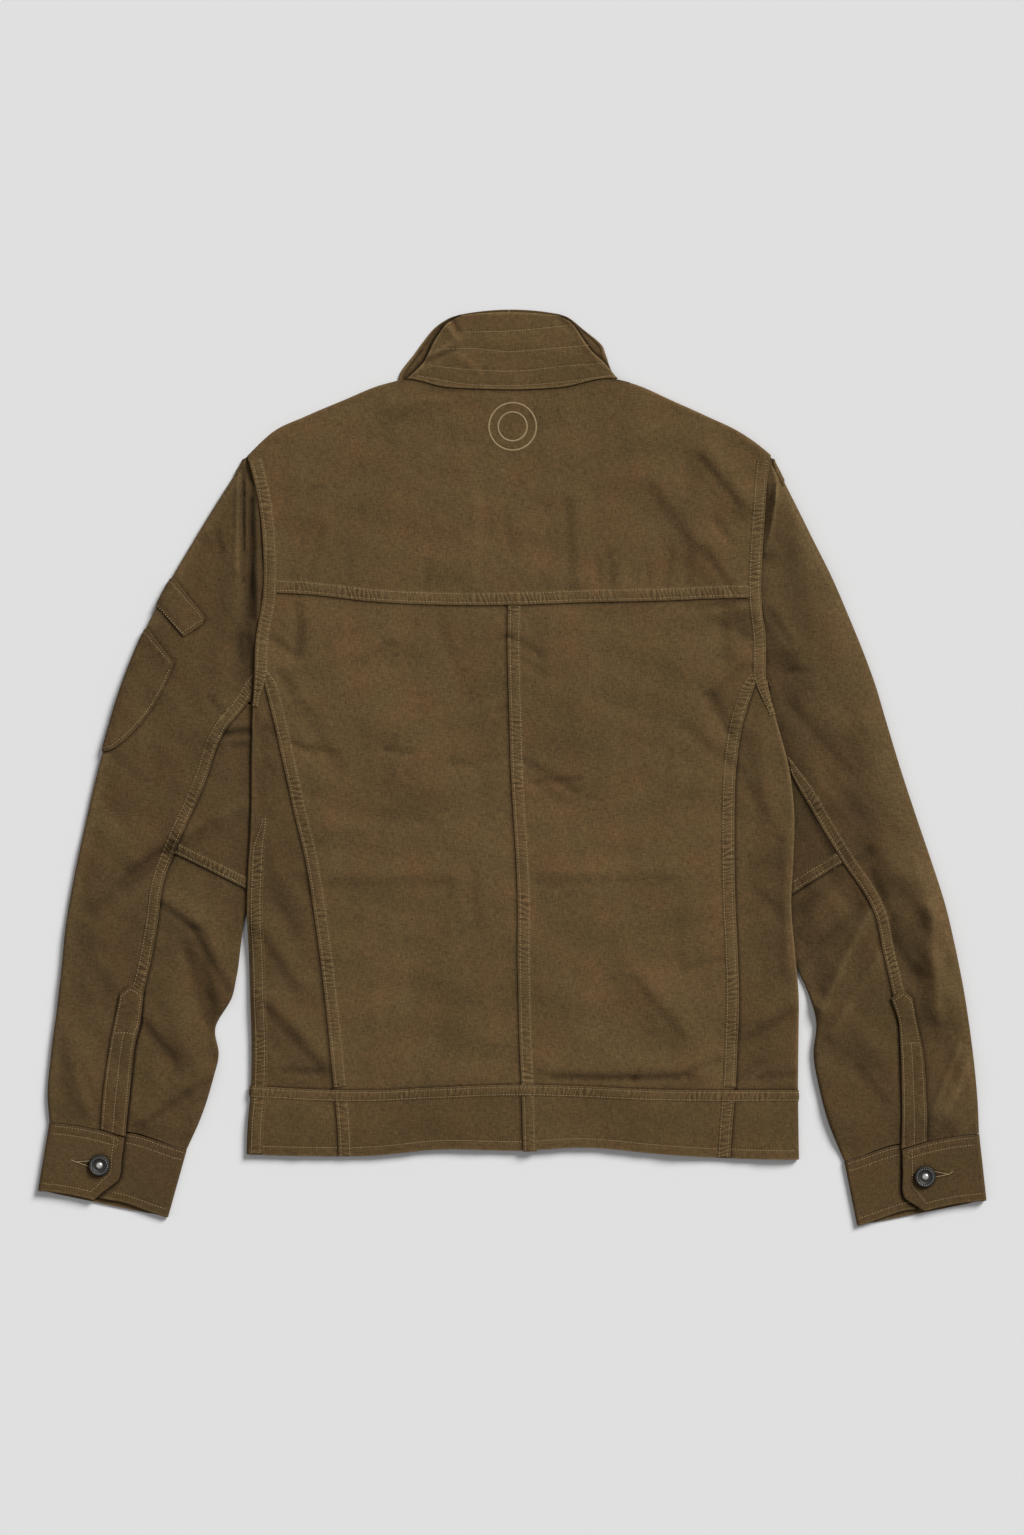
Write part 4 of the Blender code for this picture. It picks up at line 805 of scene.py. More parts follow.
def seam_strip(
    name, surface, points, side, seed, rows=SEAM_ROWS, width=SEAM_WIDTH, pull=PULL, bulk=(), taper=(0, 0),
    tuck=0.0, dye=0.0,
):
    """A felled strip along its folded edge, which lies to the left of the line where side is 1.

    It narrows over the lengths in `taper` at its start and end, and over `tuck` its end dives below the
    cloth. Returns the piece and its rows of thread.
    """
    x, y, s = trace(points)
    narrow = np.ones(len(s))
    for run, length in ((s, taper[0]), (s[-1] - s, taper[1])):
        if length:
            narrow = narrow * (0.4 + 0.6 * rise(run, 0, length))
    sunk = 1.4 * rise(s, s[-1] - tuck, s[-1]) if tuck else 0 * s
    columns = np.array(SEAM_COLUMNS) * width / SEAM_WIDTH
    for row, index in zip(rows, (4, 10)):
        columns[index - 1 : index + 2] += row - columns[index]
    lines = [beside(x, y, side * t * narrow) for t in columns]
    at = np.array([line[0] for line in lines]), np.array([line[1] for line in lines])
    base, normal = surface(*at)
    along, across = np.broadcast_arrays(s[None, :], columns[:, None])
    height, worn, dark = fell(along, across, seed, rows, width, pull, bulk)
    outer = base + (height - sunk)[..., None] * normal
    flat = np.stack([across, along], -1)
    piece = cloth(name, outer, normal, flat, washed_canvas, wall=1.0, worn=worn, shaded=dark, dye=dye)
    threads = []
    for row in rows:
        foot, up = surface(*beside(x, y, side * row * narrow))
        height, _, _ = fell(s, np.full(len(s), row), seed, rows, width, pull, bulk)
        threads.append((foot + (height + 0.1 - sunk)[:, None] * up, up))
    return piece, threads


# Corespun polyester thread, a shade paler than the cloth, with a dull silky gloss.
corespun_thread, tree, shader = painted(
    "corespun_thread", {"Roughness": 0.6, "Specular IOR Level": 0.4, "Sheen Weight": 0.1}
)
place = add(tree, "TexCoord").outputs["Object"]
fade = add(tree, "TexNoise", {"Vector": place, "Scale": 60.0, "Detail": 2.0}).outputs["Fac"]
colour = add(tree, "Mix", {"Factor": fade, "A": linear(THREAD_DYED), "B": linear(THREAD)}, data_type="RGBA")
twist = add(tree, "TexWave", {"Vector": place, "Scale": 700.0}, bands_direction="DIAGONAL")
ply = add(tree, "Bump", {"Height": twist.outputs["Fac"], "Strength": 0.4, "Distance": 0.0001})
tree.links.new(colour.outputs["Result"], shader.inputs["Base Color"])
tree.links.new(ply.outputs["Normal"], shader.inputs["Normal"])


def remeshed(piece, points, edges, faces):
    """Gives a piece a mesh of its own in place of the shape it was started from."""
    old = piece.data
    mesh = bpy.data.meshes.new(piece.name)
    mesh.from_pydata(points * MM, edges, faces)
    piece.data = mesh
    bpy.data.meshes.remove(old)
    return mesh


def stitched(name, threads, pitch=STITCH):
    """Rows of separate lockstitches, each a small bead of thread that dips into the cloth at both ends."""
    piece = started(name, bpy.ops.mesh.primitive_uv_sphere_add, segments=6, ring_count=4, radius=1)
    bead = np.array([v.co[:] for v in piece.data.vertices])[:, [2, 0, 1]] * STITCH_HALF
    sides = [list(face.vertices) for face in piece.data.polygons]
    draw = np.random.default_rng(len(name))
    points, faces = [], []
    for line, up in threads:
        run = np.concatenate([[0], np.cumsum(np.linalg.norm(np.diff(line, axis=0), axis=1))])
        count = int(run[-1] / pitch)
        middle = (np.arange(count) + 0.5) * run[-1] / max(count, 1)
        at, ahead, behind, normal = (
            np.stack([np.interp(middle + step, run, values[:, k]) for k in range(3)], -1)
            for step, values in ((0, line), (0.6, line), (-0.6, line), (0, up))
        )
        run_on = ahead - behind
        run_on /= np.linalg.norm(run_on, axis=1)[:, None]
        side = np.cross(normal, run_on)
        side /= np.linalg.norm(side, axis=1)[:, None]
        lean = draw.normal(0, 0.06, count)[:, None]
        run_on, side = run_on + lean * side, side - lean * run_on
        normal = np.cross(run_on, side)
        for k in range(count):
            faces += [[v + len(points) * len(bead) for v in face] for face in sides]
            points.append(at[k] + bead @ np.array([run_on[k], side[k], normal[k]]))
    mesh = remeshed(piece, np.concatenate(points), [], faces)
    mesh.materials.append(corespun_thread)
    mesh.shade_smooth()
    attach(piece, "root")
    return piece


def sewn_seam(name, surface, points, side, seed, slot="canvas", also=(), **shape):
    """A felled strip and the stitches that hold it down, with any more threads in `also`."""
    piece, threads = seam_strip(f"felled_{name}", surface, points, side, seed, **shape)
    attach(piece, "root")
    return [piece, stitched(f"stitches_{name}", [*threads, *also])]


def points_up(line, first, last, shift):
    """Points up a lengthwise seam of the back, or up the body's left (0) or right (1) edge."""
    ys = np.linspace(first, last, max(2, round((last - first) / 12) + 1))
    xs = curve(SEAMS, line, ys) if isinstance(line, str) else body.edge(line, ys)
    return [(float(x) + shift, float(y)) for x, y in zip(xs, ys)]


def points_across(column, first, last, count, shift):
    """Points along a crosswise edge of the body."""
    xs = np.linspace(first, last, count)
    return [(float(x), float(y) + shift) for x, y in zip(xs, curve(CROSS, column, xs))]


centre_top = float(curve(CROSS, "yoke", -4)) - HALF
# Each strip is darkened all over like its panel, by its last value: painted shade, with some uneven garment
# dye.
strips = {
    name: sewn_seam(name, body.over, points, side, seed, taper=(0, narrow), tuck=tuck, dye=dye)
    for name, points, side, seed, narrow, tuck, dye in (
        ("centre", points_up("centre", STRIP_FOOT, centre_top, HALF), -1, 1.0, 0, 0, 0.03),
        ("princess_left", points_up("left", STRIP_FOOT, 90, HALF), -1, 2.0, 26, 9, 0.08),
        ("princess_right", points_up("right", STRIP_FOOT, 88, -HALF), 1, 3.0, 26, 9, 0.08),
        ("side_left", points_up(0, STRIP_FOOT, -44, 14.2), 1, 4.0, 30, 0, 0.22),
    )
}
for node, names in (
    ("back_left", ("princess_left",)), ("back_right", ("centre", "princess_right")),
    ("back_side_left", ("side_left",)), ("back_side_right", ()),
):
    piece, outer = back_panels[node]
    laid(
        piece, node, "canvas", outer,
        [part for name in names for part in strips[name]],
    )

# === Hem band =========================================================================================
# A stiffened band of doubled canvas, pieced at every lengthwise seam and lapped over the body's raw edge.
# Two rows of thread hold its upper edge, and one runs along the hem. It goes on round to the front.

HEM_ROW = 7.6  # the single row, from the hem
BAND_ROWS = (2.1, 8.7)
BAND_WIDTH = 11.2
HEM_SPACING = 1.5
HEM_WALL = 1.9
# How much darker the hem band is all over: painted shade, with some uneven garment dye.
HEM_DYE_AND_SHADE = 0.16

hem_line = cross_border("hem", -335, 0.0)
band_down = cross_border("band", -279, -HALF)
band_canvas = canvas("stiffened_canvas")


def hem_relief(x, y):
    """The groove of the hem's row of thread, and the roll of cloth below it that it draws up."""
    up = y - curve(CROSS, "hem", x)
    groove = -0.28 * fading(up - HEM_ROW, 0.8)
    drawn = 0.14 * np.sin(x / 5.3 * math.tau + 1.5 * np.sin(x / 13)) * rise(up, 9.5, 6.5)
    return groove + drawn + 0.25 * np.sin(math.pi * np.clip(up / HEM_ROW, 0, 1))


hem_panels = {}
for name, stations in (
    ("hem_side_left", left_side_stations(back_seam("left", -HALF))),
    ("hem_back_left", [Station(back_seam("left", HALF)), Station(back_seam("centre", -HALF))]),
    ("hem_back_right", [Station(back_seam("centre", HALF)), Station(back_seam("right", -HALF))]),
    ("hem_side_right", right_side_stations(back_seam("right", HALF))),
):
    outer, normal, cut = panel_grid(body, stations, hem_line, band_down, HEM_SPACING)
    x, y = outer[..., 0], outer[..., 1]
    top_side = np.clip(normal[..., 2], 0, 1)
    outer = outer + (hem_relief(x, y) * top_side)[..., None] * normal
    # Painted shade beside the seams' folded edges.
    dark = line_shade(x, y, seam_lines(y))
    wall = WALL if "side" in name else HEM_WALL
    rubbed = 0.3 * fading(y - curve(CROSS, "hem", x), 1.6) * top_side
    piece = cloth(f"canvas_{name}", outer, normal, cut, band_canvas, wall, rubbed, dark, dye=HEM_DYE_AND_SHADE)
    hem_panels[name] = (piece, outer)

BAND_ENDS = (-226.6, 248.4)
crossings = [float(curve(SEAMS, column, -280)) - BAND_ENDS[0] for column in ("left", "centre", "right")]
hem_places = np.linspace(-226, 247.5, 240)
hem_y = curve(CROSS, "hem", hem_places) + HEM_ROW
hem_at, hem_up = body.over(hem_places, hem_y)
hem_thread = (hem_at + (hem_relief(hem_places, hem_y) + 0.12)[:, None] * hem_up, hem_up)
# The band's strip is darkened all over like the band: painted shade, with some uneven garment dye.
band_parts = sewn_seam(
    "band", body.over, points_across("band", *BAND_ENDS, 40, -HALF), -1, 5.0, "canvas_band", [hem_thread],
    rows=BAND_ROWS, width=BAND_WIDTH, pull=0.2, dye=0.14,
    bulk=(
        (0, 10), (crossings[0], crossings[0] + 11), (crossings[1], crossings[1] + 11),
        (crossings[2] - 11, crossings[2]),
    ),
)
for name, points, side, seed in (
    ("hem_centre", points_up("centre", -333.5, -281, HALF), -1, 6.0),
    ("hem_princess_left", points_up("left", -337.5, -283, HALF), -1, 7.0),
    ("hem_princess_right", points_up("right", -339, -285, -HALF), 1, 8.0),
    ("hem_side", points_up(0, -335.5, -281, 14.4), 1, 9.0),
):
    strips[name] = sewn_seam(name, body.over, points, side, seed, "canvas_band", dye=HEM_DYE_AND_SHADE)

hem_parts = {
    "hem_side_left": strips["hem_side"], "hem_back_left": strips["hem_princess_left"],
    "hem_back_right": [*strips["hem_centre"], *strips["hem_princess_right"], *band_parts],
    "hem_side_right": [],
}
for node, (piece, outer) in hem_panels.items():
    laid(piece, node, "canvas_band", outer, hem_parts[node])

# === Yoke =============================================================================================
# One piece of canvas over both shoulders. It turns over the shoulder folds and down to a seam on the front,
# and its lower edge is folded under and sewn over the back panels with two rows of thread.

YOKE_ENDS = (-229.5, 224.0)
NECK = 102
YOKE_ACROSS = 2.6
YOKE_ROW = 145.0  # the yoke seam, about
YOKE_LENGTH = 185.0  # from the yoke seam to the shoulder fold, about


def shoulder_slope(x):
    return (shoulder_top(x + 1) - shoulder_top(x - 1)) / 2


def turned_edge(x, depth):
    """Row of the yoke's lower edge, where it is turned under the shoulder by a depth."""
    return shoulder_top(x) - depth * np.hypot(1, shoulder_slope(x))


def yoke_grid():
    """Columns run from the yoke seam up to the shoulder fold or neck seam, and on round the fold."""
    neck = (NECK + HALF, NECK - HALF)
    parts = ((YOKE_ENDS[0], -neck[0]), (-neck[1], neck[1]), (neck[0], YOKE_ENDS[1]))
    xs = np.concatenate([np.linspace(a, b, round((b - a) / YOKE_ACROSS) + 1) for a, b in parts])
    share = (xs - YOKE_ENDS[0]) / (YOKE_ENDS[1] - YOKE_ENDS[0])

    def across(y):
        low = body.low(y) + HALF
        return low + share * (body.high(y) - HALF - low)

    folded = np.abs(xs) > NECK
    top = shoulder_top(xs)
    for _ in range(6):
        top = shoulder_top(across(top))
    slope = shoulder_slope(across(top))
    long = np.hypot(1, slope)
    half = LOFT / 2
    start = top - np.where(folded, half * long, HALF)
    foot = curve(CROSS, "yoke", across(np.full(len(xs), YOKE_ROW))) + HALF
    count = round(YOKE_LENGTH / ROW)
    points, normals, runs = [], [], []
    for k in range(count + 1):
        y = foot + k / count * (start - foot)
        x = across(y)
        at, normal = body.ring(x - body.low(y), y)
        points.append(at)
        normals.append(normal)
        runs.append(y)
    out = np.stack([-slope / long, 1 / long, np.zeros(len(xs))], -1)
    for turn in range(72, -91, -18):
        c, s = math.cos(math.radians(turn)), math.sin(math.radians(turn))
        y = top - half * (1 - c) * long
        points.append(np.stack([across(y), y, np.full(len(xs), half * (1 + s))], -1))
        normals.append(out * c + UP * s)
        runs.append(start + half * math.radians(90 - turn))
    for depth in (6.0, 12.0, 18.0, 24.0, YOKE_TURN):
        y = top - depth * long
        for _ in range(6):
            y = turned_edge(across(y), depth)
        points.append(np.stack([across(y), y, np.zeros(len(xs))], -1))
        normals.append(np.broadcast_to(-UP, (len(xs), 3)))
        runs.append(start + half * math.pi + depth)
    keep = np.full((len(xs) - 1, len(points) - 1), True)
    turned = folded[:-1] & folded[1:] & (np.sign(xs[:-1]) == np.sign(xs[1:]))
    keep[~turned, count:] = False
    cut = np.stack([np.broadcast_to(xs, (len(points), len(xs))), np.array(runs)], -1)
    return *(np.array(grid).transpose(1, 0, 2) for grid in (points, normals, cut)), keep


outer, normal, cut, keep = yoke_grid()
x, y = outer[..., 0], outer[..., 1]
# Painted shade along the neck seam, where the edge of the collar lies over the yoke.
dark = 0.45 * fading(shoulder_top(x) - y, 1.9) * (np.abs(x) < NECK - 6)
crests, troughs = crease_marks(BODY_CREASES, x, y)
yoke = cloth(
    "canvas_back_yoke", outer, normal, cut, washed_canvas, worn=crests, shaded=dark + troughs, keep=keep
)
yoke_edge = points_across("yoke", -217.5, 217.5, 36, HALF)
yoke_parts = sewn_seam("yoke", body.over, yoke_edge, 1, 10.0, pull=0.3, bulk=((213, 224),))
yoke_seam = [float(curve(CROSS, "yoke", x)) for x in (-217, 217)]
for name, points, side, seed, seam, narrow in (
    ("armhole_left", points_up(0, 53, 266, HALF), -1, 11.0, yoke_seam[0] - 53, 34),
    ("armhole_right", points_up(1, 46, 266, -HALF), 1, 12.0, yoke_seam[1] - 46, 44),
):
    bulk = ((16, 56), (seam - 1, seam + 12))
    yoke_parts += sewn_seam(name, body.over, points, side, seed, bulk=bulk, taper=(narrow, 0))

# Two plain rings of satin stitch are worked on the yoke below the neck.
RING_AT = (0.4, 296.0)
RING_RADII = (20.5, 12.5)
SATIN_WIDTH = 1.7
SATIN_PITCH = 0.62


def satin_stitches(radius):
    """Short threads laid side by side across a circle, each of six rings of four points."""
    turn = np.arange(round(math.tau * radius / SATIN_PITCH))[:, None] * SATIN_PITCH / radius
    share = np.array([-1.0, -0.8, -0.35, 0.35, 0.8, 1.0])
    away = radius + share * SATIN_WIDTH / 2
    base, up = body.over(RING_AT[0] + np.cos(turn) * away, RING_AT[1] + np.sin(turn) * away)
    base = base + (0.55 * np.sqrt(1 - share**2) - 0.08)[:, None] * up
    side = np.stack([-np.sin(turn), np.cos(turn), 0 * turn], -1) * SATIN_PITCH * 0.46
    ring = [base - side - 0.14 * up, base, base + side - 0.14 * up, base - 0.34 * up]
    return np.stack(ring, 2)


def embroidered(name, radii):
    """Satin stitch, domed over a padding thread."""
    stitches = np.concatenate([satin_stitches(radius) for radius in radii])
    count, rings, corners = stitches.shape[:3]
    faces = []
    for start in range(0, count * rings * corners, rings * corners):
        for ring in range(rings - 1):
            a = start + corners * ring
            for i in range(corners):
                j = (i + 1) % corners
                faces.append([a + j, a + i, a + corners + i, a + corners + j])
        faces.append([start + k for k in range(corners)])
        faces.append([start + (rings - 1) * corners + k for k in reversed(range(corners))])
    piece = started(name, bpy.ops.mesh.primitive_circle_add, vertices=8, radius=0.01)
    mesh = remeshed(piece, stitches.reshape(-1, 3), [], faces)
    mesh.materials.append(corespun_thread)
    bpy.ops.object.mode_set(mode="EDIT")
    bpy.ops.mesh.select_all(action="SELECT")
    bpy.ops.mesh.normals_make_consistent(inside=False)
    bpy.ops.object.mode_set(mode="OBJECT")
    bpy.ops.object.shade_smooth_by_angle(angle=math.radians(50))
    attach(piece, "root")
    return piece


rings = embroidered("satin_rings", RING_RADII)
laid(yoke, "back_yoke", "canvas", outer, [*yoke_parts, rings], keep)

# === Fronts, underneath ===============================================================================
# The two fronts lie flat on the table, hidden, with the left one lapped over the right. They are the same
# canvas, plainly finished, and the hem band runs on across them.

LAP = 25.0  # the left front passes the centre line by this much
FRONT_NECK_HALF = 99.0
FRONT_NECK_TOP = 332.0
FRONT_NECK_DROP = 40.0
FRONT_GAP = 1.5
FRONT_SPACING = 6.0


class FrontLap(Body):
    """The underside of the right front, which rises over the left front's lap at the centre."""

    def under(self, a, p):
        return super().under(a, p) + (WALL + GAP) * rise(a, LAP + 20, LAP + 3)


def front_top(a):
    """Upper edge of the fronts: the front neck between the shoulders, then the yoke's turned edge."""
    shoulder = turned_edge(a, YOKE_TURN) - FRONT_GAP
    neck = FRONT_NECK_TOP - FRONT_NECK_DROP * (1 - (a / FRONT_NECK_HALF) ** 2)
    return np.where(np.abs(a) > NECK - FRONT_GAP, shoulder, np.minimum(neck, FRONT_NECK_TOP))


def under_left(x):
    return lambda p: body.low(p) - x


def under_right(x):
    return lambda p: 2 * body.high(p) - body.low(p) - x


front_lap = FrontLap()
front_cut = Border(270, front_top)
side_right = right_side_seam(HALF, 1)
left_stations = [
    Station(left_side_seam(-HALF), -FRONT_SPACING), Station(under_left(-NECK), -1.5),
    Station(under_left(3 - NECK), -FRONT_SPACING), Station(under_left(LAP)),
]
right_stations = [
    Station(side_right, FRONT_SPACING), Station(under_right(NECK), 1.5),
    Station(under_right(NECK - 3), FRONT_SPACING), Station(under_right(LAP + 20), 3.0),
    Station(under_right(LAP + 3), FRONT_SPACING), Station(under_right(-LAP)),
]
for name, tube, stations, lower, upper, material, slot in (
    ("front_left", body, left_stations, band_up, front_cut, washed_canvas, "canvas"),
    ("front_right", front_lap, right_stations, band_up, front_cut, washed_canvas, "canvas"),
    ("hem_front_left", body, left_stations, hem_line, band_down, band_canvas, "canvas_band"),
    ("hem_front_right", front_lap, right_stations, hem_line, band_down, band_canvas, "canvas_band"),
):
    outer, normal, cut = panel_grid(tube, stations, lower, upper, FRONT_SPACING)
    piece = cloth(f"canvas_{name}", outer, normal, cut, material)
    laid(piece, name, slot, outer)

# === Collar ===========================================================================================
# A stand collar of two plies, quilted with level rows of thread. Its back lies on its two front halves,
# which show past it at both ends and along its upper edge.

# Rows of the collar, from its neck edge to its top edge: the ends, and the height in the middle.
COLLAR_BACK = table(
    "left_x left_y right_x right_y middle",
    (-91.5, 337.2, 92, 337.2, 328), (-77, 352, 80.5, 351, 344.7), (-68, 369.5, 68, 363, 362),
    (-57, 385, 53, 384.5, 379.5), (-43.6, 392.8, 41.8, 392.2, 395.5),
)
COLLAR_FRONT = table(
    "left_x left_y right_x right_y middle",
    (-99, 334, 93, 334, 297), (-96.8, 344, 86, 346, 318), (-85, 359.5, 81.5, 359, 342),
    (-77, 370.5, 77, 368.5, 364), (-67.5, 382, 62, 381, 383), (-56, 390, 50, 390.6, 394),
    (-46, 393.6, 41, 394.2, 398.2),
)
COLLAR_WALL = 2.2
COLLAR_LIFT = 3.2  # underside of the back of the collar, over the table
COLLAR_CROWN = 0.8
COLLAR_SPREAD = 92.0  # half its width at the foot
COLLAR_FOOT = 330.0
COLLAR_RISE = 66.0  # from its foot to its upper edge
COLLAR_SIZE = (150.0, 64.0)  # about, for its grid
COLLAR_SPACING = 1.5
# Rows of thread across the back of the collar, each through places (x, y).
COLLAR_SEWING = (
    ((-47.6, 378), (0.4, 379), (51, 384)),
    ((-66, 363), (-31.6, 363.7), (-7.6, 361), (27, 363), (67, 366.6)),
    ((-71.5, 349), (-31.6, 345), (13.7, 344.7), (40, 348), (80, 351)),
    ((-83, 340.3), (-39.6, 332.8), (7, 331.8), (53.7, 335.8), (88, 340.8)),
)
COLLAR_CREASES = creases(
    (-53, 390, -47, 378, 2.2, -1.7), (-58, 384, -48, 372, 4, 1.4), (-75, 352, -50, 362, 2.4, -1.4),
    (-72, 357, -54, 366, 3.5, 1.1), (-50, 359, -30, 346, 4, 0.9), (60, 372, 76, 352, 3.5, 0.9),
    (40, 390, 52, 380, 3, -0.8), (-20, 372, 20, 371, 6, 0.5), (-70, 368, -56, 384, 3, 0.8),
    (-86, 342, -66, 350, 3, 0.6), (-30, 349, -22, 343, 2.4, -0.6), (55, 352, 66, 362, 3, -0.5),
)
FRONT_COLLAR_CREASES = creases(
    (-92, 344, -80, 360, 1.6, -0.9), (-80, 360, -62, 382, 1.6, -0.9), (-62, 382, -44, 391, 1.8, -0.6),
    (58, 383, 76, 364, 1.8, -0.7),
)


def edged(length, spacing):
    """Shares from 0 to 1 of a length at an even spacing, with closer ones by both ends for a rolled edge."""
    inside = np.linspace(1.3, length - 1.3, max(2, round((length - 2.6) / spacing) + 1))
    return np.concatenate([[0, 0.2, 0.6], inside, [length - 0.6, length - 0.2, length]]) / length


def rolled(away, radius=0.8):
    """How far the face of a folded edge falls off at a distance from the edge."""
    return radius - np.sqrt(radius**2 - (radius - np.clip(away, 0, radius)) ** 2)


def height_field(height):
    """Points and normals of a face whose height is known at each place in the plane."""

    def surface(x, y):
        slope_x = (height(x + 0.3, y) - height(x - 0.3, y)) / 0.6
        slope_y = (height(x, y + 0.3) - height(x, y - 0.3)) / 0.6
        normal = np.stack([-slope_x, -slope_y, np.ones(np.shape(slope_x))], -1)
        return np.stack([x, y, height(x, y)], -1), normal / np.linalg.norm(normal, axis=-1, keepdims=True)

    return surface


def sewn(surface, points, away=0.0, lift=0.1):
    """A row of thread on a surface, beside a line through places in the plane."""
    x, y, _ = trace(points)
    at, up = surface(*beside(x, y, away))
    return at + lift * up, up


def collar_points(rows, down, across):
    """(x, y) on the collar, at a share of the way down its table and a share across."""
    names = rows[0]._fields
    numbered = table(("share", *names), *((k / (len(rows) - 1), *row) for k, row in enumerate(rows)))
    read = {name: curve(numbered, name, down) for name in names}
    x = read["left_x"] + across * (read["right_x"] - read["left_x"])
    level_y = read["left_y"] + across * (read["right_y"] - read["left_y"])
    dip = read["middle"] - (read["left_y"] + read["right_y"]) / 2
    return x, level_y + dip * 4 * across * (1 - across)


def along_neck(rows, down, across):
    """The same, with the first row drawn onto the neck seam of the yoke."""
    x, y = collar_points(rows, down, across)
    foot_x, foot_y = collar_points(rows, 0 * down, across)
    return x, y + (shoulder_top(foot_x) + 2 * GAP - foot_y) * (1 - down) ** 3


def quilted(x, y):
    """Height of the back of the collar: a low crown, drawn in along its rows of thread."""
    up = np.clip((y - COLLAR_FOOT) / COLLAR_RISE, 0, 1)
    crown = np.clip(1 - (x / COLLAR_SPREAD) ** 2, 0, 1) * np.sin(math.pi * up)
    total = COLLAR_LIFT + COLLAR_WALL + COLLAR_CROWN * crown
    for k, row in enumerate(COLLAR_SEWING):
        places = np.array(row)
        away = y - np.interp(x, places[:, 0], places[:, 1])
        drawn = np.sin(x / 4.4 * math.tau + k + 1.5 * np.sin(x / 14 + k))
        total = total - 0.34 * fading(away, 0.9) + 0.12 * drawn * fading(away, 3.2)
    return total + crease_height(COLLAR_CREASES, x, y) + 0.5 * rumple(x, y, 5)


def front_collar(x, y):
    """Height of the front halves of the collar."""
    return COLLAR_WALL + crease_height(FRONT_COLLAR_CREASES, x, y)


def collar_plate(name, places, rows, first, last, height, folds, edges=()):
    """A ply of the collar between two shares across it, shaded where other edges lie on it."""
    width = (last - first) * COLLAR_SIZE[0]
    shares = edged(width, COLLAR_SPACING)
    downs = edged(COLLAR_SIZE[1], COLLAR_SPACING)
    across, down = np.meshgrid(first + (last - first) * shares, downs, indexing="ij")
    outer, normal = height_field(height)(*places(rows, down, across))
    side = np.minimum(shares, 1 - shares) * width
    end = np.minimum(downs, 1 - downs) * COLLAR_SIZE[1]
    edge_away = np.minimum(side[:, None], end[None, :])
    outer[..., 2] -= rolled(edge_away)
    cut = np.stack([across * COLLAR_SIZE[0], down * COLLAR_SIZE[1]], -1)
    rubbed = 0.35 * fading(edge_away - 0.8, 0.9)
    # Painted shade: a fold line just inside the edges of the front plies, and beside the edges of the back
    # that lies on them.
    dark = 0.5 * fading(edge_away - 2.9, 0.7) if edges else np.zeros(outer.shape[:2])
    for points, reach, depth in edges:
        away = near_line(outer[..., 0], outer[..., 1], points)
        dark = np.maximum(dark, depth * fading(away, reach))
    crests, troughs = crease_marks(folds, outer[..., 0], outer[..., 1])
    piece = cloth(
        name, outer, normal, cut, washed_canvas, COLLAR_WALL - 0.6, rubbed + crests, dark + 1.6 * troughs,
        dye=BACK_DYE_AND_SHADE,
    )
    return piece, outer


collar, outer = collar_plate("canvas_collar_back", along_neck, COLLAR_BACK, 0, 1, quilted, COLLAR_CREASES)
# Edges of the back of the collar, with the reach and depth of the shade painted beside them on the front
# halves.
collar_rim = [(outer[0, ::4, :2], 3.0, 1.0), (outer[-1, ::4, :2], 2.6, 1.0), (outer[::4, -1, :2], 0.8, 0.5)]
collar_stitches = stitched("stitches_collar", [sewn(height_field(quilted), row) for row in COLLAR_SEWING])
laid(collar, "collar_back", "canvas", outer, [collar_stitches])
for name, first, last in (("collar_front_left", 0, 0.5), ("collar_front_right", 0.502, 1)):
    piece, outer = collar_plate(
        f"canvas_{name}", collar_points, COLLAR_FRONT, first, last, front_collar, FRONT_COLLAR_CREASES,
        collar_rim,
    )
    laid(piece, name, "canvas", outer)

# === Sleeves ==========================================================================================
# Each sleeve has an outer piece, which turns round the outer fold, and an under piece in two parts, joined
# across the elbow. Felled seams join them, and both sleeves lie under the edges of the body.

# A row of a sleeve: distances from the centre line of the outer fold, the back seam and the inner edge,
# at height y on the outer fold. The row falls by `drop` on its way to the inner edge.
LEFT_SLEEVE = table(
    "y outer seam inner drop",
    (266, 233.5, 228.5, 228.5, 0), (235, 253.4, 220.8, 220.8, 0), (200, 274.9, 216.8, 216.8, 0),
    (165, 295.4, 216.4, 216.4, 0), (130, 313.5, 220.2, 220.2, 0), (95, 329.2, 223.5, 223.5, 0),
    (60, 342, 228, 224.8, 0), (30, 351, 250, 217, 0), (-15, 363, 267, 218, 0), (-55, 372, 284.5, 219.5, 0),
    (-95, 380.5, 301, 223, 0), (-135, 387.5, 307.5, 233.5, 3), (-175, 391.6, 315.5, 239.3, 7),
    (-190, 393.3, 319.5, 243, 9), (-215, 396.2, 322.2, 258, 12), (-235, 399, 326.8, 255, 14.5),
    (-255, 401.3, 329.3, 260, 17), (-285, 403.7, 333, 271, 21), (-308, 402, 335.5, 282.8, 24),
)
RIGHT_SLEEVE = table(
    "y outer seam inner drop",
    (266, 227.6, 224.5, 224.5, 0), (235, 243.2, 221.2, 221.2, 0), (200, 260.6, 218.6, 218.6, 0),
    (165, 278, 217.6, 217.6, 0), (130, 293.2, 219.4, 219.4, 0), (95, 307.4, 221, 221, 0),
    (74, 315, 223.5, 221, 0), (40, 325.2, 228.5, 222, 0), (0, 337.3, 240, 231.5, 0),
    (-40, 350.4, 261.5, 236.5, 0), (-80, 364, 285.3, 236, 0), (-120, 376.7, 311.5, 235.5, 2),
    (-160, 386, 321.8, 244.5, 6), (-190, 392, 329.2, 258.5, 9), (-210, 395.3, 334.5, 264.3, 11),
    (-235, 398.9, 336.3, 262, 14), (-262, 402, 337, 267, 17), (-290, 404.6, 338.2, 275.5, 20.5),
    (-318, 406, 338, 288.8, 24),
)
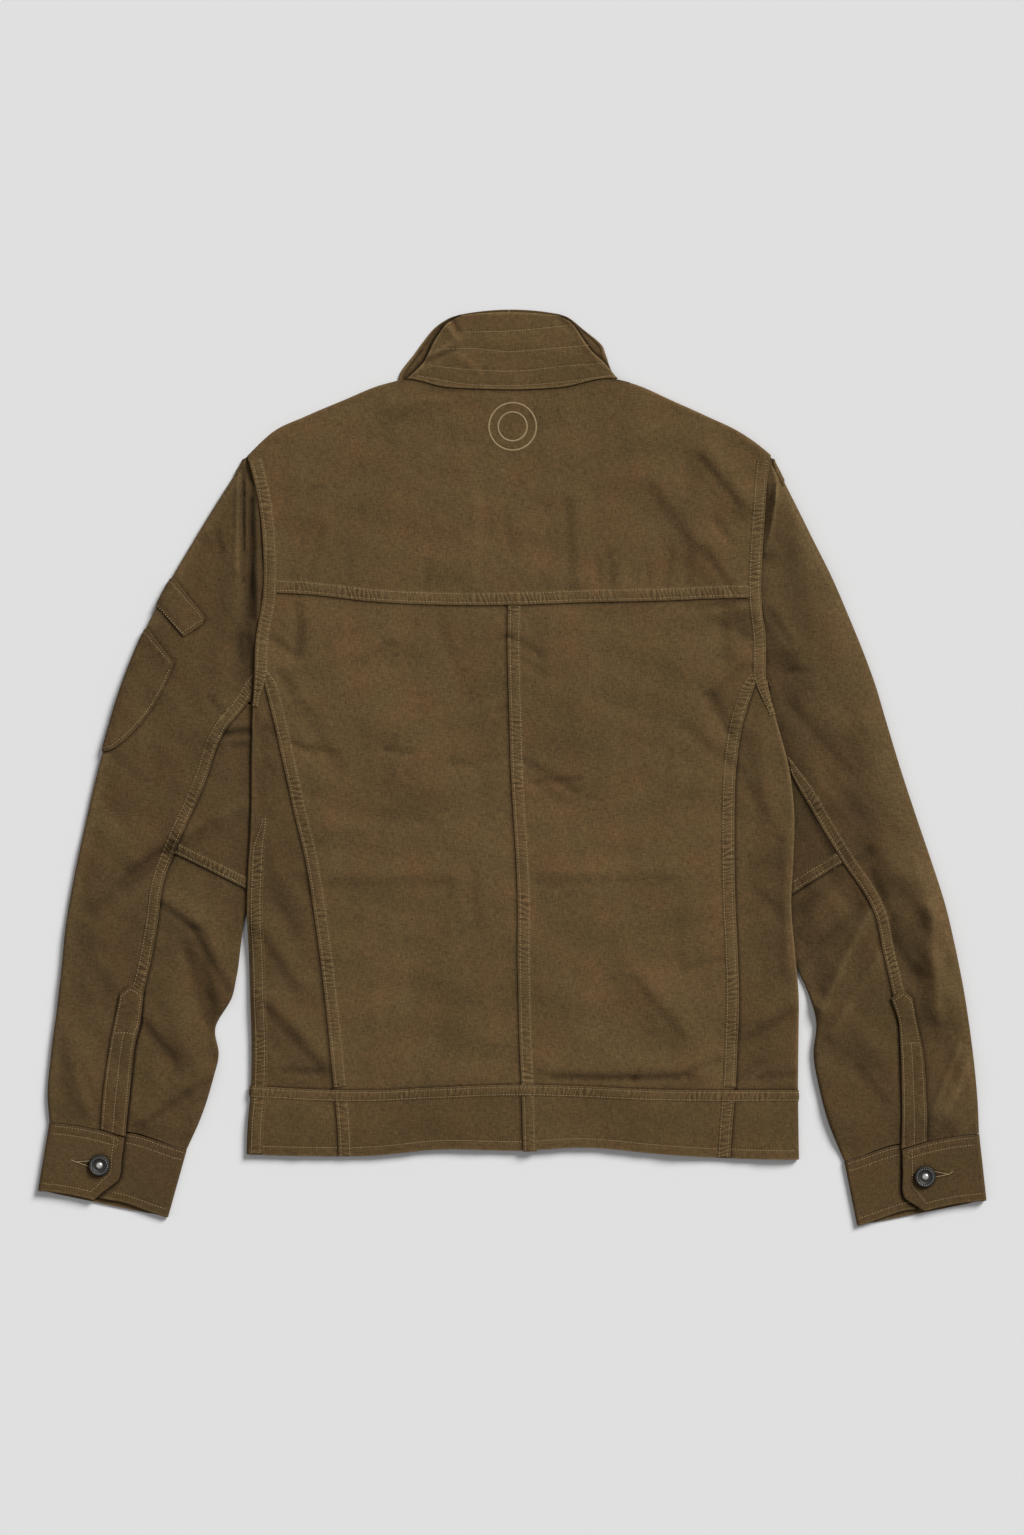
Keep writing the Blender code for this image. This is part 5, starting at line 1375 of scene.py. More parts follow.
# The first lines of each table are the solid's own folds, and the rest the creases on them.
LEFT_CREASES = creases(
    (-231, 250, -230, 80, 9, -1.4), (-240, 240, -241, 120, 9, 1.6), (-286, -57, -236, -33, 13, 2.9),
    (-338, -104, -306, -80, 12, -2.6), (-304, -116, -274, -136, 12, 2.9),
    (-274, -136, -249, -188, 12, 2.9), (-283, -162, -262, -228, 12, -2.9),
    (-318, -305, -283, -281, 10, 2.9), (-283, -281, -264, -268, 10, 2.9),
    (-378, -255, -366, -294, 10, 1.9), (-228, 169, -231, 73, 4, -1.2), (-236, 250, -236, 120, 4, 1.2),
    (-257, 204, -252, 186, 3, -1), (-286, -57, -231, -31, 4, 1.2), (-338, -104, -304, -78, 5, -1.4),
    (-304, -120, -274, -141, 4, -1.9), (-278, -140, -247, -193, 4, -1.9),
    (-283, -162, -265, -218, 4, -1.7), (-265, -218, -257, -255, 4, -1.4),
    (-321, -223, -295, -252, 5, -1.4), (-321, -311, -283, -284, 4, -1.7),
    (-283, -284, -257, -268, 4, -1.7), (-373, -261, -361, -296, 4, -1.2), (-250, 28, -226, 32, 3, -1.4),
    (-262, 60, -250, 44, 3, -1.9), (-345, 10, -318, -14, 6, -1), (-380, -140, -352, -196, 7, -1),
    (-352, -282, -345, -306, 3, -0.4), (-300, -76, -364, -125, 7, -1.8), (-296, -70, -332, -92, 5, -1.4),
    (-300, -82, -352, -160, 8, -1.6), (-288, -72, -262, -48, 6, -1.4), (-250, 28, -226, 32, 3.5, -1.7),
    (-268, -145, -262, -216, 6, -1.4), (-300, 170, -290, 110, 22, 1.6), (-335, 60, -350, 0, 20, 1.8),
    (-300, 20, -315, -30, 18, -1.4), (-350, -60, -372, -180, 18, 1.8), (-330, -150, -345, -250, 14, -1.5),
    (-292, -240, -300, -290, 9, -1.2), (-262, 120, -268, 84, 10, -1.2), (-246, 50, -256, 14, 5, -1.2),
    (-221.8, 245, -220.3, 130, 2.6, 1.8), (-238, 262, -239, 170, 2.6, 1.6),
    (-233.8, 258, -234.3, 160, 1.9, -2.4), (-230.8, 255, -230.5, 190, 1.8, 1.2),
    (-226.8, 232, -226.3, 130, 2, -1.8), (-237, 121, -236, 93, 3, -1.5),
    (-229.5, 112, -228.5, 98, 2.6, -1.2), (-244, 18, -226, 20, 3, -1.3), (-252, 44, -262, 22, 3, 1.1),
    (-352, -30, -330, -60, 9, -1.4), (-390, -200, -372, -290, 10, 1.5), (-318, -226, -292, -262, 6, -1.6),
    (-300, -206, -272, -262, 9, 1.6),
)
RIGHT_CREASES = creases(
    (229, 245, 228, 190, 9, 2.3), (222, 137, 239, 110, 10, 1.9), (242, 52, 291, -5, 14, -2.6),
    (252, -172, 303, -122, 11, -3), (270, -207, 309, -130, 12, 3), (280, -231, 316, -178, 10, 3),
    (364, -125, 366, -210, 10, 3), (394, -255, 374, -300, 12, 3), (226, 265, 229, 237, 3, 1.3),
    (229, 237, 220, 187, 3, 1.3), (236, 82, 253, 84, 3, -1.3), (222, 137, 239, 110, 4, -1.3),
    (242, 52, 291, -5, 5, -0.9), (248, -174, 303, -122, 4, -2), (268, -209, 309, -127, 4, 1.5),
    (277, -231, 320, -162, 4, 1.3), (311, -92, 329, -133, 5, -1.8), (323, -138, 349, -179, 6, -2),
    (349, -179, 366, -238, 6, -1.2), (362, -122, 370, -218, 5, 1.3), (396, -255, 364, -316, 5, 1.5),
    (300, -262, 322, -290, 5, -1.3), (258, 20, 300, -40, 7, -1), (286, 120, 300, 70, 8, -0.9),
    (223.8, 264.6, 228, 256.8, 1.8, 1.5), (228, 256.8, 229.2, 246.8, 1.8, 1.7),
    (229.2, 246.8, 228, 231.3, 1.8, 1.8), (228, 231.3, 226.5, 215.8, 1.8, 1.7),
    (226.5, 215.8, 223.4, 200.4, 1.8, 1.5), (238, 232, 230, 150, 9, -0.7), (262, 170, 272, 90, 22, 1.9),
    (247, -127, 309, -74, 6, -1.7), (252, -60, 300, -128, 9, -1.6), (345, -145, 384, -268, 7, -0.9),
    (358, -150, 392, -230, 8, 2), (300, -10, 330, -90, 16, 1.7), (290, 40, 318, -60, 14, -1.6),
    (240, 90, 262, 60, 6, -0.7), (300, -180, 286, -250, 12, -1.6), (352, -210, 344, -300, 8, -1.3),
    (318, -165, 326, -120, 5, 1.3), (246, 200, 262, 120, 12, 1.4), (330, -60, 352, -110, 8, -1.4),
    (350, -98, 382, -160, 9, 2.4), (336, -100, 360, -150, 7, -1), (388, -240, 364, -300, 2.6, 1.4),
    (400, -270, 384, -312, 8, 1.4), (268, -40, 290, -80, 5, -1.4), (290, -215, 330, -262, 9, 1.4),
    (390, -272, 383, -286, 2, 0.9), (383, -286, 374.7, -301, 2.5, 0.8),
    (401.3, -305, 388.6, -320, 2.5, 0.8), (296, -150, 268, -215, 2.4, 0.9),
)
# How much darker the sleeves and their patches are all over: painted shade, with some uneven garment dye.
SLEEVE_DYE_AND_SHADE = 0.25
PATCH_LIFT = 1.6  # the left sleeve's underside is raised this much where its pocket turns under
SLEEVE_ROWS = (2.5, 9.3)
SLEEVE_STRIP = 11.7
ELBOW_ROWS = (2.2, 8.4)
ELBOW_STRIP = 10.8
# Bands of tone down the outer pieces. The dark ones are painted shade, beside the body's edge on the left
# sleeve and in a broad band down the lower part of the right one. The pale ones on the right sleeve are
# painted light along its outer side, and the pale one on the left sleeve runs along its outer fold. For each:
# whether it is dark or pale, how deep, how far from the body's edge or from the outer fold, how wide, and the
# rows over which each of them comes and goes.
TONES = table(
    "word mark start depth away width rows",
    ("left", "dark", "body", 0.22, 12, 8, ((60, 110), (262, 235))),
    ("left", "faded", "fold", 0.22, 3, 6, ((-320, -240),)),
    ("right", "dark", "fold", 0.16, 47, 12, ((20, -40),)),
    ("right", "faded", "fold", 0.2, 8, 12, ((-240, -120),)),
    ("right", "faded", "fold", 0.13, 20, 12, ((-130, -60), (100, 30))),
    ("right", "faded", "fold", 0.22, 48, 20, ((0, 60), (235, 190))),
)
# The sleeve's end bows up along the cuff's seam: over the tab, and over the end that lies below it.
TAB_BOW = 2.4
LAP_BOW = 5.0


def tab_bow(share):
    return TAB_BOW * np.sin(math.pi * np.clip(share / 0.58, 0, 1))


def lap_bow(share):
    return LAP_BOW * rise(share, 1.0, 0.62)


class Sleeve(namedtuple("Sleeve", "side rows creases underarm clear patched seed crown lean"), Tube):
    """A sleeve. Its rows p are heights on the outer fold, and a place across is a distance from X = 0.

    The body lies on it from the row `clear` up to the underarm, and the armhole's edge above that. It is
    crowned by up to `crown`, further out where `lean` is less than 1.
    """

    def low(self, p):
        armhole = self.side * body.edge(self.side > 0, p)
        return np.where(np.asarray(p) > self.underarm, armhole, curve(self.rows, "inner", p))

    def high(self, p):
        return curve(self.rows, "outer", p)

    def seam(self, p):
        return curve(self.rows, "seam", p)

    def folded(self, end, p):
        return np.full(np.shape(p), True) if end else np.asarray(p) < self.underarm

    def place(self, a, p):
        share = (self.high(p) - a) / (self.high(p) - self.low(p))
        return self.side * a, p - curve(self.rows, "drop", p) * share

    def found(self, x, y):
        a = self.side * x
        p = np.array(y, float)
        for _ in range(8):
            share = (self.high(p) - a) / (self.high(p) - self.low(p))
            p = y + curve(self.rows, "drop", p) * share
        return a - self.low(p), p

    def under(self, a, p):
        if not self.patched:
            return np.zeros(np.broadcast(a, p).shape)
        along = rise(p, -25, 5) * rise(p, 200, 172)
        return PATCH_LIFT * along * rise(self.high(p) - a, 70, 42)

    def bare(self, w, p):
        """0 where the body lies on the sleeve, and 1 on the rest of it."""
        covered = rise(p, self.clear - 20, self.clear) * (np.asarray(p) < self.underarm)
        return 1 - covered * (1 - rise(w, 9, 15))

    def top(self, a, p):
        tip = THIN + (LOFT - THIN) * rise(p, 266, 225)
        arm = THIN + (LOFT - 1 - THIN) * rise(p, self.underarm + 2, self.underarm + 36)
        freed = LOFT - (LOFT - THIN) * rise(p, self.clear - 40, self.clear)
        inner = np.where(np.asarray(p) > self.underarm, arm, freed)
        away = rise(a - self.low(p), 11, 32)
        height = np.minimum(tip, inner + (LOFT - inner) * away)
        end = self.rows[-1].y
        height = height - 1.9 * rise(p, end + 16, end + 3) * rise(self.seam(p) - a, 0, 9)
        x, y = self.place(a, p)
        share = (self.high(p) - a) / (self.high(p) - self.low(p) + 1e-9)
        crown = self.crown * np.sin(math.pi * np.clip(share, 0, 1) ** self.lean)
        crown = crown * rise(p, 262, 215) * rise(p, end, end + 30)
        worked = crease_height(self.creases, x, y) + 1.5 * rumple(x, y, self.seed) + crown
        calm = rise(p, 266, 250) * self.bare(a - self.low(p), p) * rise(self.high(p) - a, 0, 5)
        return np.maximum(height + worked * calm, self.under(a, p) + LEAST)

    def seam_line(self, shift):
        return lambda p: self.seam(p) - self.low(p) + shift

    def outer_nose(self, share):
        return lambda p: self.high(p) - self.low(p) + share * self.nose(1, p)[1]

    def inner_nose(self, share):
        return lambda p: share * np.maximum(self.nose(0, p)[1], 0.5)

    def forearm(self, p):
        """Distance of the hidden forearm seam from the inner edge, underneath."""
        return np.where(np.asarray(p) < self.underarm, 4 + 16 * rise(p, self.underarm, 0), 0.0)

    def back_edge(self, p):
        return np.where(np.asarray(p) > self.underarm - 4, HALF, self.seam_line(HALF)(p))

    def under_end(self, p):
        return 2 * (self.high(p) - self.low(p)) - self.forearm(p) - HALF

    def visible(self, x, y):
        """The top of the sleeve, sunk where the body lies on it, so that a strip runs out under the body."""
        edge = body.edge(self.side > 0, y)
        past_edge = self.side * (x - edge)
        above = y > self.underarm
        points, normal = self.over(np.where(above & (past_edge < 0.3), edge + self.side * 0.3, x), y)
        points[..., 0] = x
        covered = rise(past_edge, 2.0, 0.2) * (y > self.clear - 20)
        return points - (1.4 * covered)[..., None] * UP, normal


left_sleeve = Sleeve(-1.0, LEFT_SLEEVE, LEFT_CREASES, UNDERARMS[0], -140.0, True, 7, 1.8, 1.0)
right_sleeve = Sleeve(1.0, RIGHT_SLEEVE, RIGHT_CREASES, UNDERARMS[1], -180.0, False, 8, 3.5, 0.6)


def elbow_border(tube, at_seam, at_inner, shift):
    """The elbow seam runs down from the back seam to the inner edge."""
    near = curve(tube.rows, "seam", at_seam)
    far = curve(tube.rows, "inner", at_inner)

    def at(a):
        return at_seam + np.clip((near - a) / (near - far), 0, 1) * (at_inner - at_seam) + shift

    return Border((at_seam + at_inner) / 2, at)


def sleeve_tones(name, tube, outer, on_top, cut, elbow):
    """How far a piece of a sleeve is paled, by rubbing and painted light, and how far it is darkened with
    painted shade.
    """
    x, y = outer[..., 0], outer[..., 1]
    off_body = tube.side * (x - body.edge(tube.side > 0, y))
    # Painted shade on the sleeve beside the body's edge, where the body lies on it: a narrow line, and a
    # broad band.
    dark = 0.15 * fading(off_body, 2.2) * (y > tube.clear - 10) * on_top
    depth = 0.18 if "left" in name else 0.18 - 0.12 * rise(y, 60, 110)
    dark += depth * fading(off_body, 15) * rise(y, tube.clear - 10, tube.clear + 40) * on_top
    faded = np.zeros(x.shape)
    if "top" in name:
        inside = tube.high(cut[..., 1]) - tube.side * x
        for tone in (tone for tone in TONES if tone.word in name):
            away = off_body if tone.start == "body" else inside
            band = tone.depth * fading(away - tone.away, tone.width)
            for comes, goes in tone.rows:
                band = band * rise(y, comes, goes)
            # The dark bands are painted shade, and the others pale the cloth.
            if tone.mark == "dark":
                dark += band * on_top
            else:
                faded += band
    if "under" in name:
        # Painted shade beside the felled seams that stand over the under pieces.
        w, p = cut[..., 0], cut[..., 1]
        a = tube.low(p) + np.abs(w)
        dark += line_shade(a, p, ((tube.seam(p), -1),)) * (w > 0)
        if "lower" in name:
            dark += line_shade(p, a, ((elbow.at(a), -1),)) * (w > 0)
    crests, troughs = crease_marks(tube.creases, x, y)
    return faded + crests * on_top, dark + troughs * on_top


sleeve_pieces = {}
for word, tube, tip, start, first, narrow, last, at_seam, at_inner in (
    ("left", left_sleeve, 270.2, ((-217, 76), (-223, 68), (-226.5, 62)), 54, 0, -202, -75.0, -108.0),
    ("right", right_sleeve, 269.6, ((232.5, 12.5),), 0, 44, -206, -83.0, -114.0),
):
    end_row = tube.rows[-1]
    armhole = float(tube.low(tip))

    def bowed(bow, row=end_row):
        return Border(row.y, lambda a: row.y + HALF + bow((row.outer - a) / (row.outer - row.inner)))

    def shoulder(a, tip=tip, armhole=armhole):
        return tip - 0.85 * np.maximum(a - armhole, 0)

    outer_stations = [
        Station(tube.back_edge, 1.5), Station(lambda p, tube=tube: tube.back_edge(p) + 13),
        Station(tube.outer_nose(-1.0), 0.9), Station(tube.outer_nose(1.0), 7.0),
        Station(tube.under_end),
    ]
    lap = Station(lambda p, tube=tube: np.maximum(tube.seam_line(-HALF)(p), tube.inner_nose(1.15)(p)))
    under_stations = [
        Station(lambda p, tube=tube: HALF - tube.forearm(p), 4.0), Station(tube.inner_nose(-1.0), 0.9),
        Station(tube.inner_nose(1.0)), lap,
    ]
    above = elbow_border(tube, at_seam, at_inner, GAP)
    below = elbow_border(tube, at_seam, at_inner, -GAP)
    for name, stations, lower, upper in (
        (f"sleeve_{word}_top", outer_stations, bowed(tab_bow), Border(tip - 2, shoulder)),
        (f"sleeve_{word}_under_upper", under_stations, above, level(tube.underarm - 1.5 - GAP)),
        (f"sleeve_{word}_under_lower", under_stations, bowed(lap_bow), below),
    ):
        outer, normal, cut = panel_grid(tube, stations, lower, upper, ROW)
        # Each piece is paler where rubbed and where light is painted on, and darker with painted shade.
        rubbed, dark = sleeve_tones(name, tube, outer, normal[..., 2] > 0, cut, below)
        piece = cloth(f"canvas_{name}", outer, normal, cut, washed_canvas, WALL, rubbed, dark, dye=SLEEVE_DYE_AND_SHADE)
        sleeve_pieces[name] = (piece, outer)
    rows = np.linspace(first, last, 24)
    seam_x, seam_y = tube.place(tube.seam(rows) + HALF, rows)
    seam_points = [*start, *zip(seam_x, seam_y)]
    seam = sewn_seam(
        f"sleeve_{word}", tube.visible, seam_points, tube.side, 13.0 + tube.side,
        rows=SLEEVE_ROWS, width=SLEEVE_STRIP, taper=(narrow, 0), dye=SLEEVE_DYE_AND_SHADE,
    )
    places = np.linspace(float(tube.seam(at_seam)) - 0.5, float(tube.edge(0, at_inner)) + 4, 8)
    elbow_x, elbow_y = tube.place(places, above.at(places))
    elbow = sewn_seam(
        f"elbow_{word}", tube.visible, list(zip(elbow_x, elbow_y)), -tube.side, 16.0 + tube.side,
        rows=ELBOW_ROWS, width=ELBOW_STRIP, dye=SLEEVE_DYE_AND_SHADE,
    )
    for part, parts in (("top", seam), ("under_upper", elbow), ("under_lower", ())):
        name = f"sleeve_{word}_{part}"
        laid(sleeve_pieces[name][0], name, "canvas", sleeve_pieces[name][1], parts)

# === Sleeve plackets ==================================================================================
# A folded band with a pointed end, sewn over the slit that opens the sleeve above the cuff. A bar of stitches
# across it marks the end of the slit, and three rows run down from there.

LEFT_PLACKET = table(
    "y near far",
    (-317, 335.6, 357.6), (-288, 332.5, 355.3), (-240, 327.5, 349), (-215, 321.8, 344), (-196, 319.8, 340),
)
RIGHT_PLACKET = table(
    "y near far",
    (-327.6, 338, 360.2), (-290, 338, 359.3), (-240, 336.5, 355.3), (-218, 334.6, 350.3),
    (-200, 328.6, 346.8),
)
PLACKET_POINT = 8.0  # how far the placket's point stands over its shoulders
PLACKET_SLANT = 6.3  # its foot rises with the cuff's seam, towards the outer fold
PLACKET_WALL = 1.0
PLACKET_LIFT = (1.35, 2.1)  # its face over the sleeve, and over the end of the seam
PLACKET_ROW = 2.0  # its edge rows of thread, from the edge
PLACKET_SIZE = (21.0, 118.0)
# How much darker the plackets are all over: painted shade, with some uneven garment dye.
PLACKET_DYE_AND_SHADE = 0.26
PLACKET_ROLL = 0.7


def placket_place(tube, rows, across, along):
    """(x, y) on a placket, at a share across it and a share of the way up."""
    y = rows[0].y + along * (rows[-1].y - rows[0].y)
    near = curve(rows, "near", y)
    far = curve(rows, "far", y)
    peak = PLACKET_POINT * (1 - np.abs(2 * across - 1)) * along**6
    slant = PLACKET_SLANT * (across - 0.5) * (1 - along) ** 2
    return tube.side * (near + across * (far - near)), y + peak + slant


def placket_relief(across, along, bar):
    """Grooves along its rows of thread, and the cloth that they draw up between them."""
    s = along * PLACKET_SIZE[1]
    t = across * PLACKET_SIZE[0]
    edge_away = np.minimum(t, PLACKET_SIZE[0] - t)
    open_part = rise(along, bar + 0.01, bar - 0.01)
    total = -0.3 * fading(edge_away - PLACKET_ROW, 0.6)
    total -= 0.3 * fading(t - PLACKET_SIZE[0] / 2, 0.7) * open_part
    total -= 0.3 * fading((along - bar) * PLACKET_SIZE[1], 0.8)
    drawn = np.sin(s / 4.6 * math.tau + 1.4 * np.sin(s / 12)) * fading(edge_away - 3.4, 2.4)
    return total + 0.16 * drawn + 0.3 * rise(edge_away, 1.0, 5.0)


for word, tube, rows, bar_row in (
    ("left", left_sleeve, LEFT_PLACKET, -231.0), ("right", right_sleeve, RIGHT_PLACKET, -239.6),
):
    bar = (bar_row - rows[0].y) / (rows[-1].y - rows[0].y)
    shares, steps = edged(PLACKET_SIZE[0], 1.3), edged(PLACKET_SIZE[1], 1.4)
    across, along = np.meshgrid(shares, steps, indexing="ij")

    def face(across, along, tube=tube, rows=rows, bar=bar):
        base, up = tube.over(*placket_place(tube, rows, across, along))
        lift = PLACKET_LIFT[0] * (0.7 + 0.3 * rise(along, 0, 0.06))
        lift = lift + (PLACKET_LIFT[1] - PLACKET_LIFT[0]) * rise(along, 0.78, 0.92)
        return base + (lift + placket_relief(across, along, bar))[..., None] * up, up

    outer, normal = face(across, along)
    side = np.minimum(shares, 1 - shares) * PLACKET_SIZE[0]
    end = (1 - steps) * PLACKET_SIZE[1]
    drop = rolled(np.minimum(side[:, None], end[None, :]), PLACKET_ROLL)
    outer = outer - drop[..., None] * normal
    cut = np.stack([across * PLACKET_SIZE[0], along * PLACKET_SIZE[1]], -1)
    piece = cloth(f"canvas_placket_{word}", outer, normal, cut, washed_canvas, PLACKET_WALL, dye=PLACKET_DYE_AND_SHADE)
    outline = np.concatenate([outer[::6, 0], outer[-1, ::6], outer[::-6, -1], outer[0, ::-6]])[:, :2]
    # Painted shade on the sleeve round the placket, whose edge stands over it.
    for part in ("top", "under_lower"):
        shade_round(sleeve_pieces[f"sleeve_{word}_{part}"][0], outline, 0.4, 2.0)
    inset = PLACKET_ROW / PLACKET_SIZE[0]
    top = 1 - 1.6 * PLACKET_ROW / PLACKET_SIZE[1]
    many = np.linspace(0.004, top, 110)
    flat = np.linspace(inset, 1 - inset, 24)
    round_across = np.concatenate([np.full(110, inset), flat[1:-1], np.full(110, 1 - inset)])
    round_along = np.concatenate([many, np.full(22, top), many[::-1]])
    threads = []
    for line in (
        (round_across, round_along), (np.full(60, 0.5), np.linspace(0.004, bar, 60)),
        (flat, np.full(24, bar)),
    ):
        at, up = face(*line)
        threads.append((at + 0.1 * up, up))
    stitches = stitched(f"stitches_placket_{word}", threads)
    laid(piece, f"placket_{word}", "canvas", outer, [stitches])

# === Sleeve pocket ====================================================================================
# A small patch pocket with a round foot and a separate slanting flap, sewn flat on the left sleeve only.
# Both turn under with the sleeve at its outer fold.

# Corners of the patches: distance from the outer fold and row.
FLAP = table("away row", (0, 164), (47.5, 130), (36, 113), (0, 139))
POCKET = table("away row", (0, 120), (38, 90.5), (8, 24), (0, 14))
PATCH_WALL = 1.0
PATCH_UNDER = 26.0  # how far the pocket and its flap turn under the outer fold
PATCH_ROW = 2.1  # the row of thread, from the edge
PATCH_ROLL = 0.7


def patch_edges(corners, round_foot, away):
    """Rows of a patch's upper and lower edges at a distance from the outer fold."""
    reach = corners[1].away
    away = np.asarray(away, float)
    upper = corners[0].row + (corners[1].row - corners[0].row) * away / reach
    rest = corners[1].row - 6
    if round_foot:
        bend = np.sqrt(np.clip(1 - (away / reach) ** 2, 0, 1))
        return upper, corners[3].row + (rest - corners[3].row) * (1 - bend) ** 0.8
    foot = corners[2].away
    lower = corners[3].row + (corners[2].row - corners[3].row) / foot * np.minimum(away, foot)
    return upper, lower + np.maximum(away - foot, 0) * (rest - corners[2].row) / (reach - foot)


def patch_over(x, y):
    base, up = left_sleeve.over(x, y)
    return base + (GAP + PATCH_WALL) * up, up


def patch_grid(corners, round_foot, length):
    """Points, normals and cut places of a patch, from its end underneath over the fold to its top corner."""
    tube = left_sleeve
    reach = corners[1].away
    columns = [("under", share) for share in np.linspace(0, 1, 6)[:-1]]
    columns += [("nose", share) for share in np.linspace(-1, 1, 10)[:-1]]
    columns += [("top", share) for share in edged(reach, 1.5)]
    along = edged(length, 1.5)
    ws, ps, aways = [], [], []
    for zone, share in columns:
        away = share * reach if zone == "top" else 0.0
        upper, lower = patch_edges(corners, round_foot, away)
        p = lower + along * (upper - lower)
        width = tube.high(p) - tube.low(p)
        nose = tube.nose(1, p)[1]
        if zone == "top":
            w = width - nose - share * np.maximum(reach - nose, 0)
        elif zone == "nose":
            w = width - share * nose
        else:
            w = width + nose + (1 - share) * (PATCH_UNDER - nose)
        ws.append(w)
        ps.append(p)
        aways.append(np.minimum(reach - away, np.minimum(upper - p, p - lower)))
    w, p = np.array(ws), np.array(ps)
    base, up = tube.ring(w, p)
    edge_away = np.array(aways)
    height = GAP + PATCH_WALL + 0.25 * rise(edge_away, 1.0, 6.0) - rolled(edge_away, PATCH_ROLL)
    height = height - 0.24 * fading(edge_away - PATCH_ROW, 0.8)
    drawn = np.sin((p + w) / 4.8 * math.tau) * fading(edge_away - 3.2, 2.2)
    return base + (height + 0.13 * drawn)[..., None] * up, up, np.stack([w, p], -1)


def patch_border(corners, round_foot, upper):
    """Places in the plane along a patch's upper or lower edge, from the outer fold inwards."""
    reach = corners[1].away
    turn = np.linspace(0, math.pi / 2, 12)
    aways = reach * np.sin(turn) if round_foot and not upper else np.linspace(0, reach, 12)
    if not (round_foot or upper):
        aways = np.linspace(0, corners[2].away - 1.5, 8)
    rows = patch_edges(corners, round_foot, aways)[0 if upper else 1]
    return [(float(-left_sleeve.high(row) + away), float(row)) for away, row in zip(aways, rows)]


for name, corners, round_foot, length in (
    ("sleeve_pocket_flap", FLAP, False, 28.0), ("sleeve_pocket", POCKET, True, 95.0),
):
    outer, normal, cut = patch_grid(corners, round_foot, length)
    piece = cloth(f"canvas_{name}", outer, normal, cut, washed_canvas, PATCH_WALL, dye=SLEEVE_DYE_AND_SHADE)
    face = outer[14:]
    outline = np.concatenate([face[::6, -1], face[-1, ::-6], face[::-6, 0]])[:, :2]
    # Painted shade on the sleeve round the patch, whose edge stands over it.
    shade_round(sleeve_pieces["sleeve_left_top"][0], outline, 0.5, 1.8)
    top_edge = patch_border(corners, round_foot, True)
    foot_edge = patch_border(corners, round_foot, False)
    top_edge = [(x - 1.4 * (k == len(top_edge) - 1), y) for k, (x, y) in enumerate(top_edge)]
    threads = [sewn(patch_over, top_edge, -PATCH_ROW, 0.2), sewn(patch_over, foot_edge, PATCH_ROW, 0.2)]
    if not round_foot:
        first, last = foot_edge[-1], top_edge[-1]
        end_row = [(first[0], first[1] + 2.4), (last[0] - 1.2, last[1] - 2)]
        threads.append(sewn(patch_over, end_row, 0, 0.2))
    stitches = stitched(f"stitches_{name}", threads)
    laid(piece, name, "canvas", outer, [stitches])

# === Cuffs ============================================================================================
# A stiffened band round the end of each sleeve. Its slant-cut tab laps over its other end and is buttoned,
# and rows of thread run along its seam, its edge and the end of the tab.

# The corners of a cuff as it lies, the end of its tab as a share across, and the sides of its buttonhole.
CuffShape = namedtuple("CuffShape", "side outer_seam inner_seam outer_edge inner_edge tab button holes")
LEFT_CUFF = CuffShape(
    -1, (402, -308.4), (282.7, -332.4), (412, -367.5), (299, -391),
    table(
        "down across",
        (0, 0.55), (0.3, 0.563), (0.57, 0.577), (0.63, 0.57), (0.7, 0.545), (0.85, 0.487), (1, 0.43),
    ),
    (-357.9, -345.2),
    (
        ((-378.5, -342.3), (-367.1, -341.5)), ((-378.5, -342.3), (-367.1, -346.3)),
        ((-382.8, -340.6), (-378.5, -342.3)),
    ),
)
RIGHT_CUFF = CuffShape(
    1, (406, -318.4), (288.8, -342.4), (412.4, -376), (300, -398.3),
    table(
        "down across",
        (0, 0.575), (0.35, 0.598), (0.66, 0.62), (0.72, 0.615), (0.79, 0.582), (0.9, 0.53), (1, 0.478),
    ),
    (358.4, -355),
    (
        ((379.3, -353.1), (366.7, -350.6)), ((379.3, -353.1), (366.7, -355.6)),
        ((382.4, -350.6), (379.3, -353.1)),
    ),
)
UNDER_TAB = 0.2  # the lower end of the cuff stops at this share of its width
CUFF_TOP = 6.9
CUFF_LOW_TOP = 4.7
CUFF_WALL = 1.9
CUFF_DEPTH = 60.0
CUFF_WIDTH = 118.0
CUFF_ROWS = (2.6, 9.1, 53.2)  # of thread, down from the seam
TAB_ROW = 8.6  # from the end of the tab
TAB_TWIN = 3.5  # a second row by the tab's seam, this much nearer to its end
# How much darker the cuffs are all over: painted shade, with some uneven garment dye.
CUFF_DYE_AND_SHADE = 0.33
CUFF_ROLL = 0.9  # radius of its open edge and of the end of the tab


def cuff_line(cuff, down, share, bow):
    """(x, y) on a cuff: down from its seam to its edge, and a share of its width from the outer fold."""
    outer = [seam + down * (edge - seam) for seam, edge in zip(cuff.outer_seam, cuff.outer_edge)]
    inner = [seam + down * (edge - seam) for seam, edge in zip(cuff.inner_seam, cuff.inner_edge)]
    x = outer[0] + share * (inner[0] - outer[0])
    return cuff.side * x, outer[1] + share * (inner[1] - outer[1]) + bow


def tab_end(cuff, down):
    return curve(cuff.tab, "across", down)


def cuff_relief(down, share, low):
    """Grooves of the rows of thread, the cloth drawn up between them, and the roll of the open edge."""
    d = down * CUFF_DEPTH
    s = share * CUFF_WIDTH
    total = -rolled(CUFF_DEPTH - d, CUFF_ROLL)
    for row in CUFF_ROWS:
        total = total - 0.26 * fading(d - row, 0.8)
    drawn = np.sin(s / 4.9 * math.tau + 1.6 * np.sin(s / 13 + low)) * rise(d, 0.5, 3.0) * rise(d, 12, 8.5)
    hem = np.sin(s / 5.6 * math.tau + 1.3 * np.sin(s / 11 + low)) * rise(d, 50, 54)
    return total + 0.2 * drawn + 0.12 * hem + 0.25 * np.sin(s / 31 + 2 * low) * np.sin(down * math.pi)


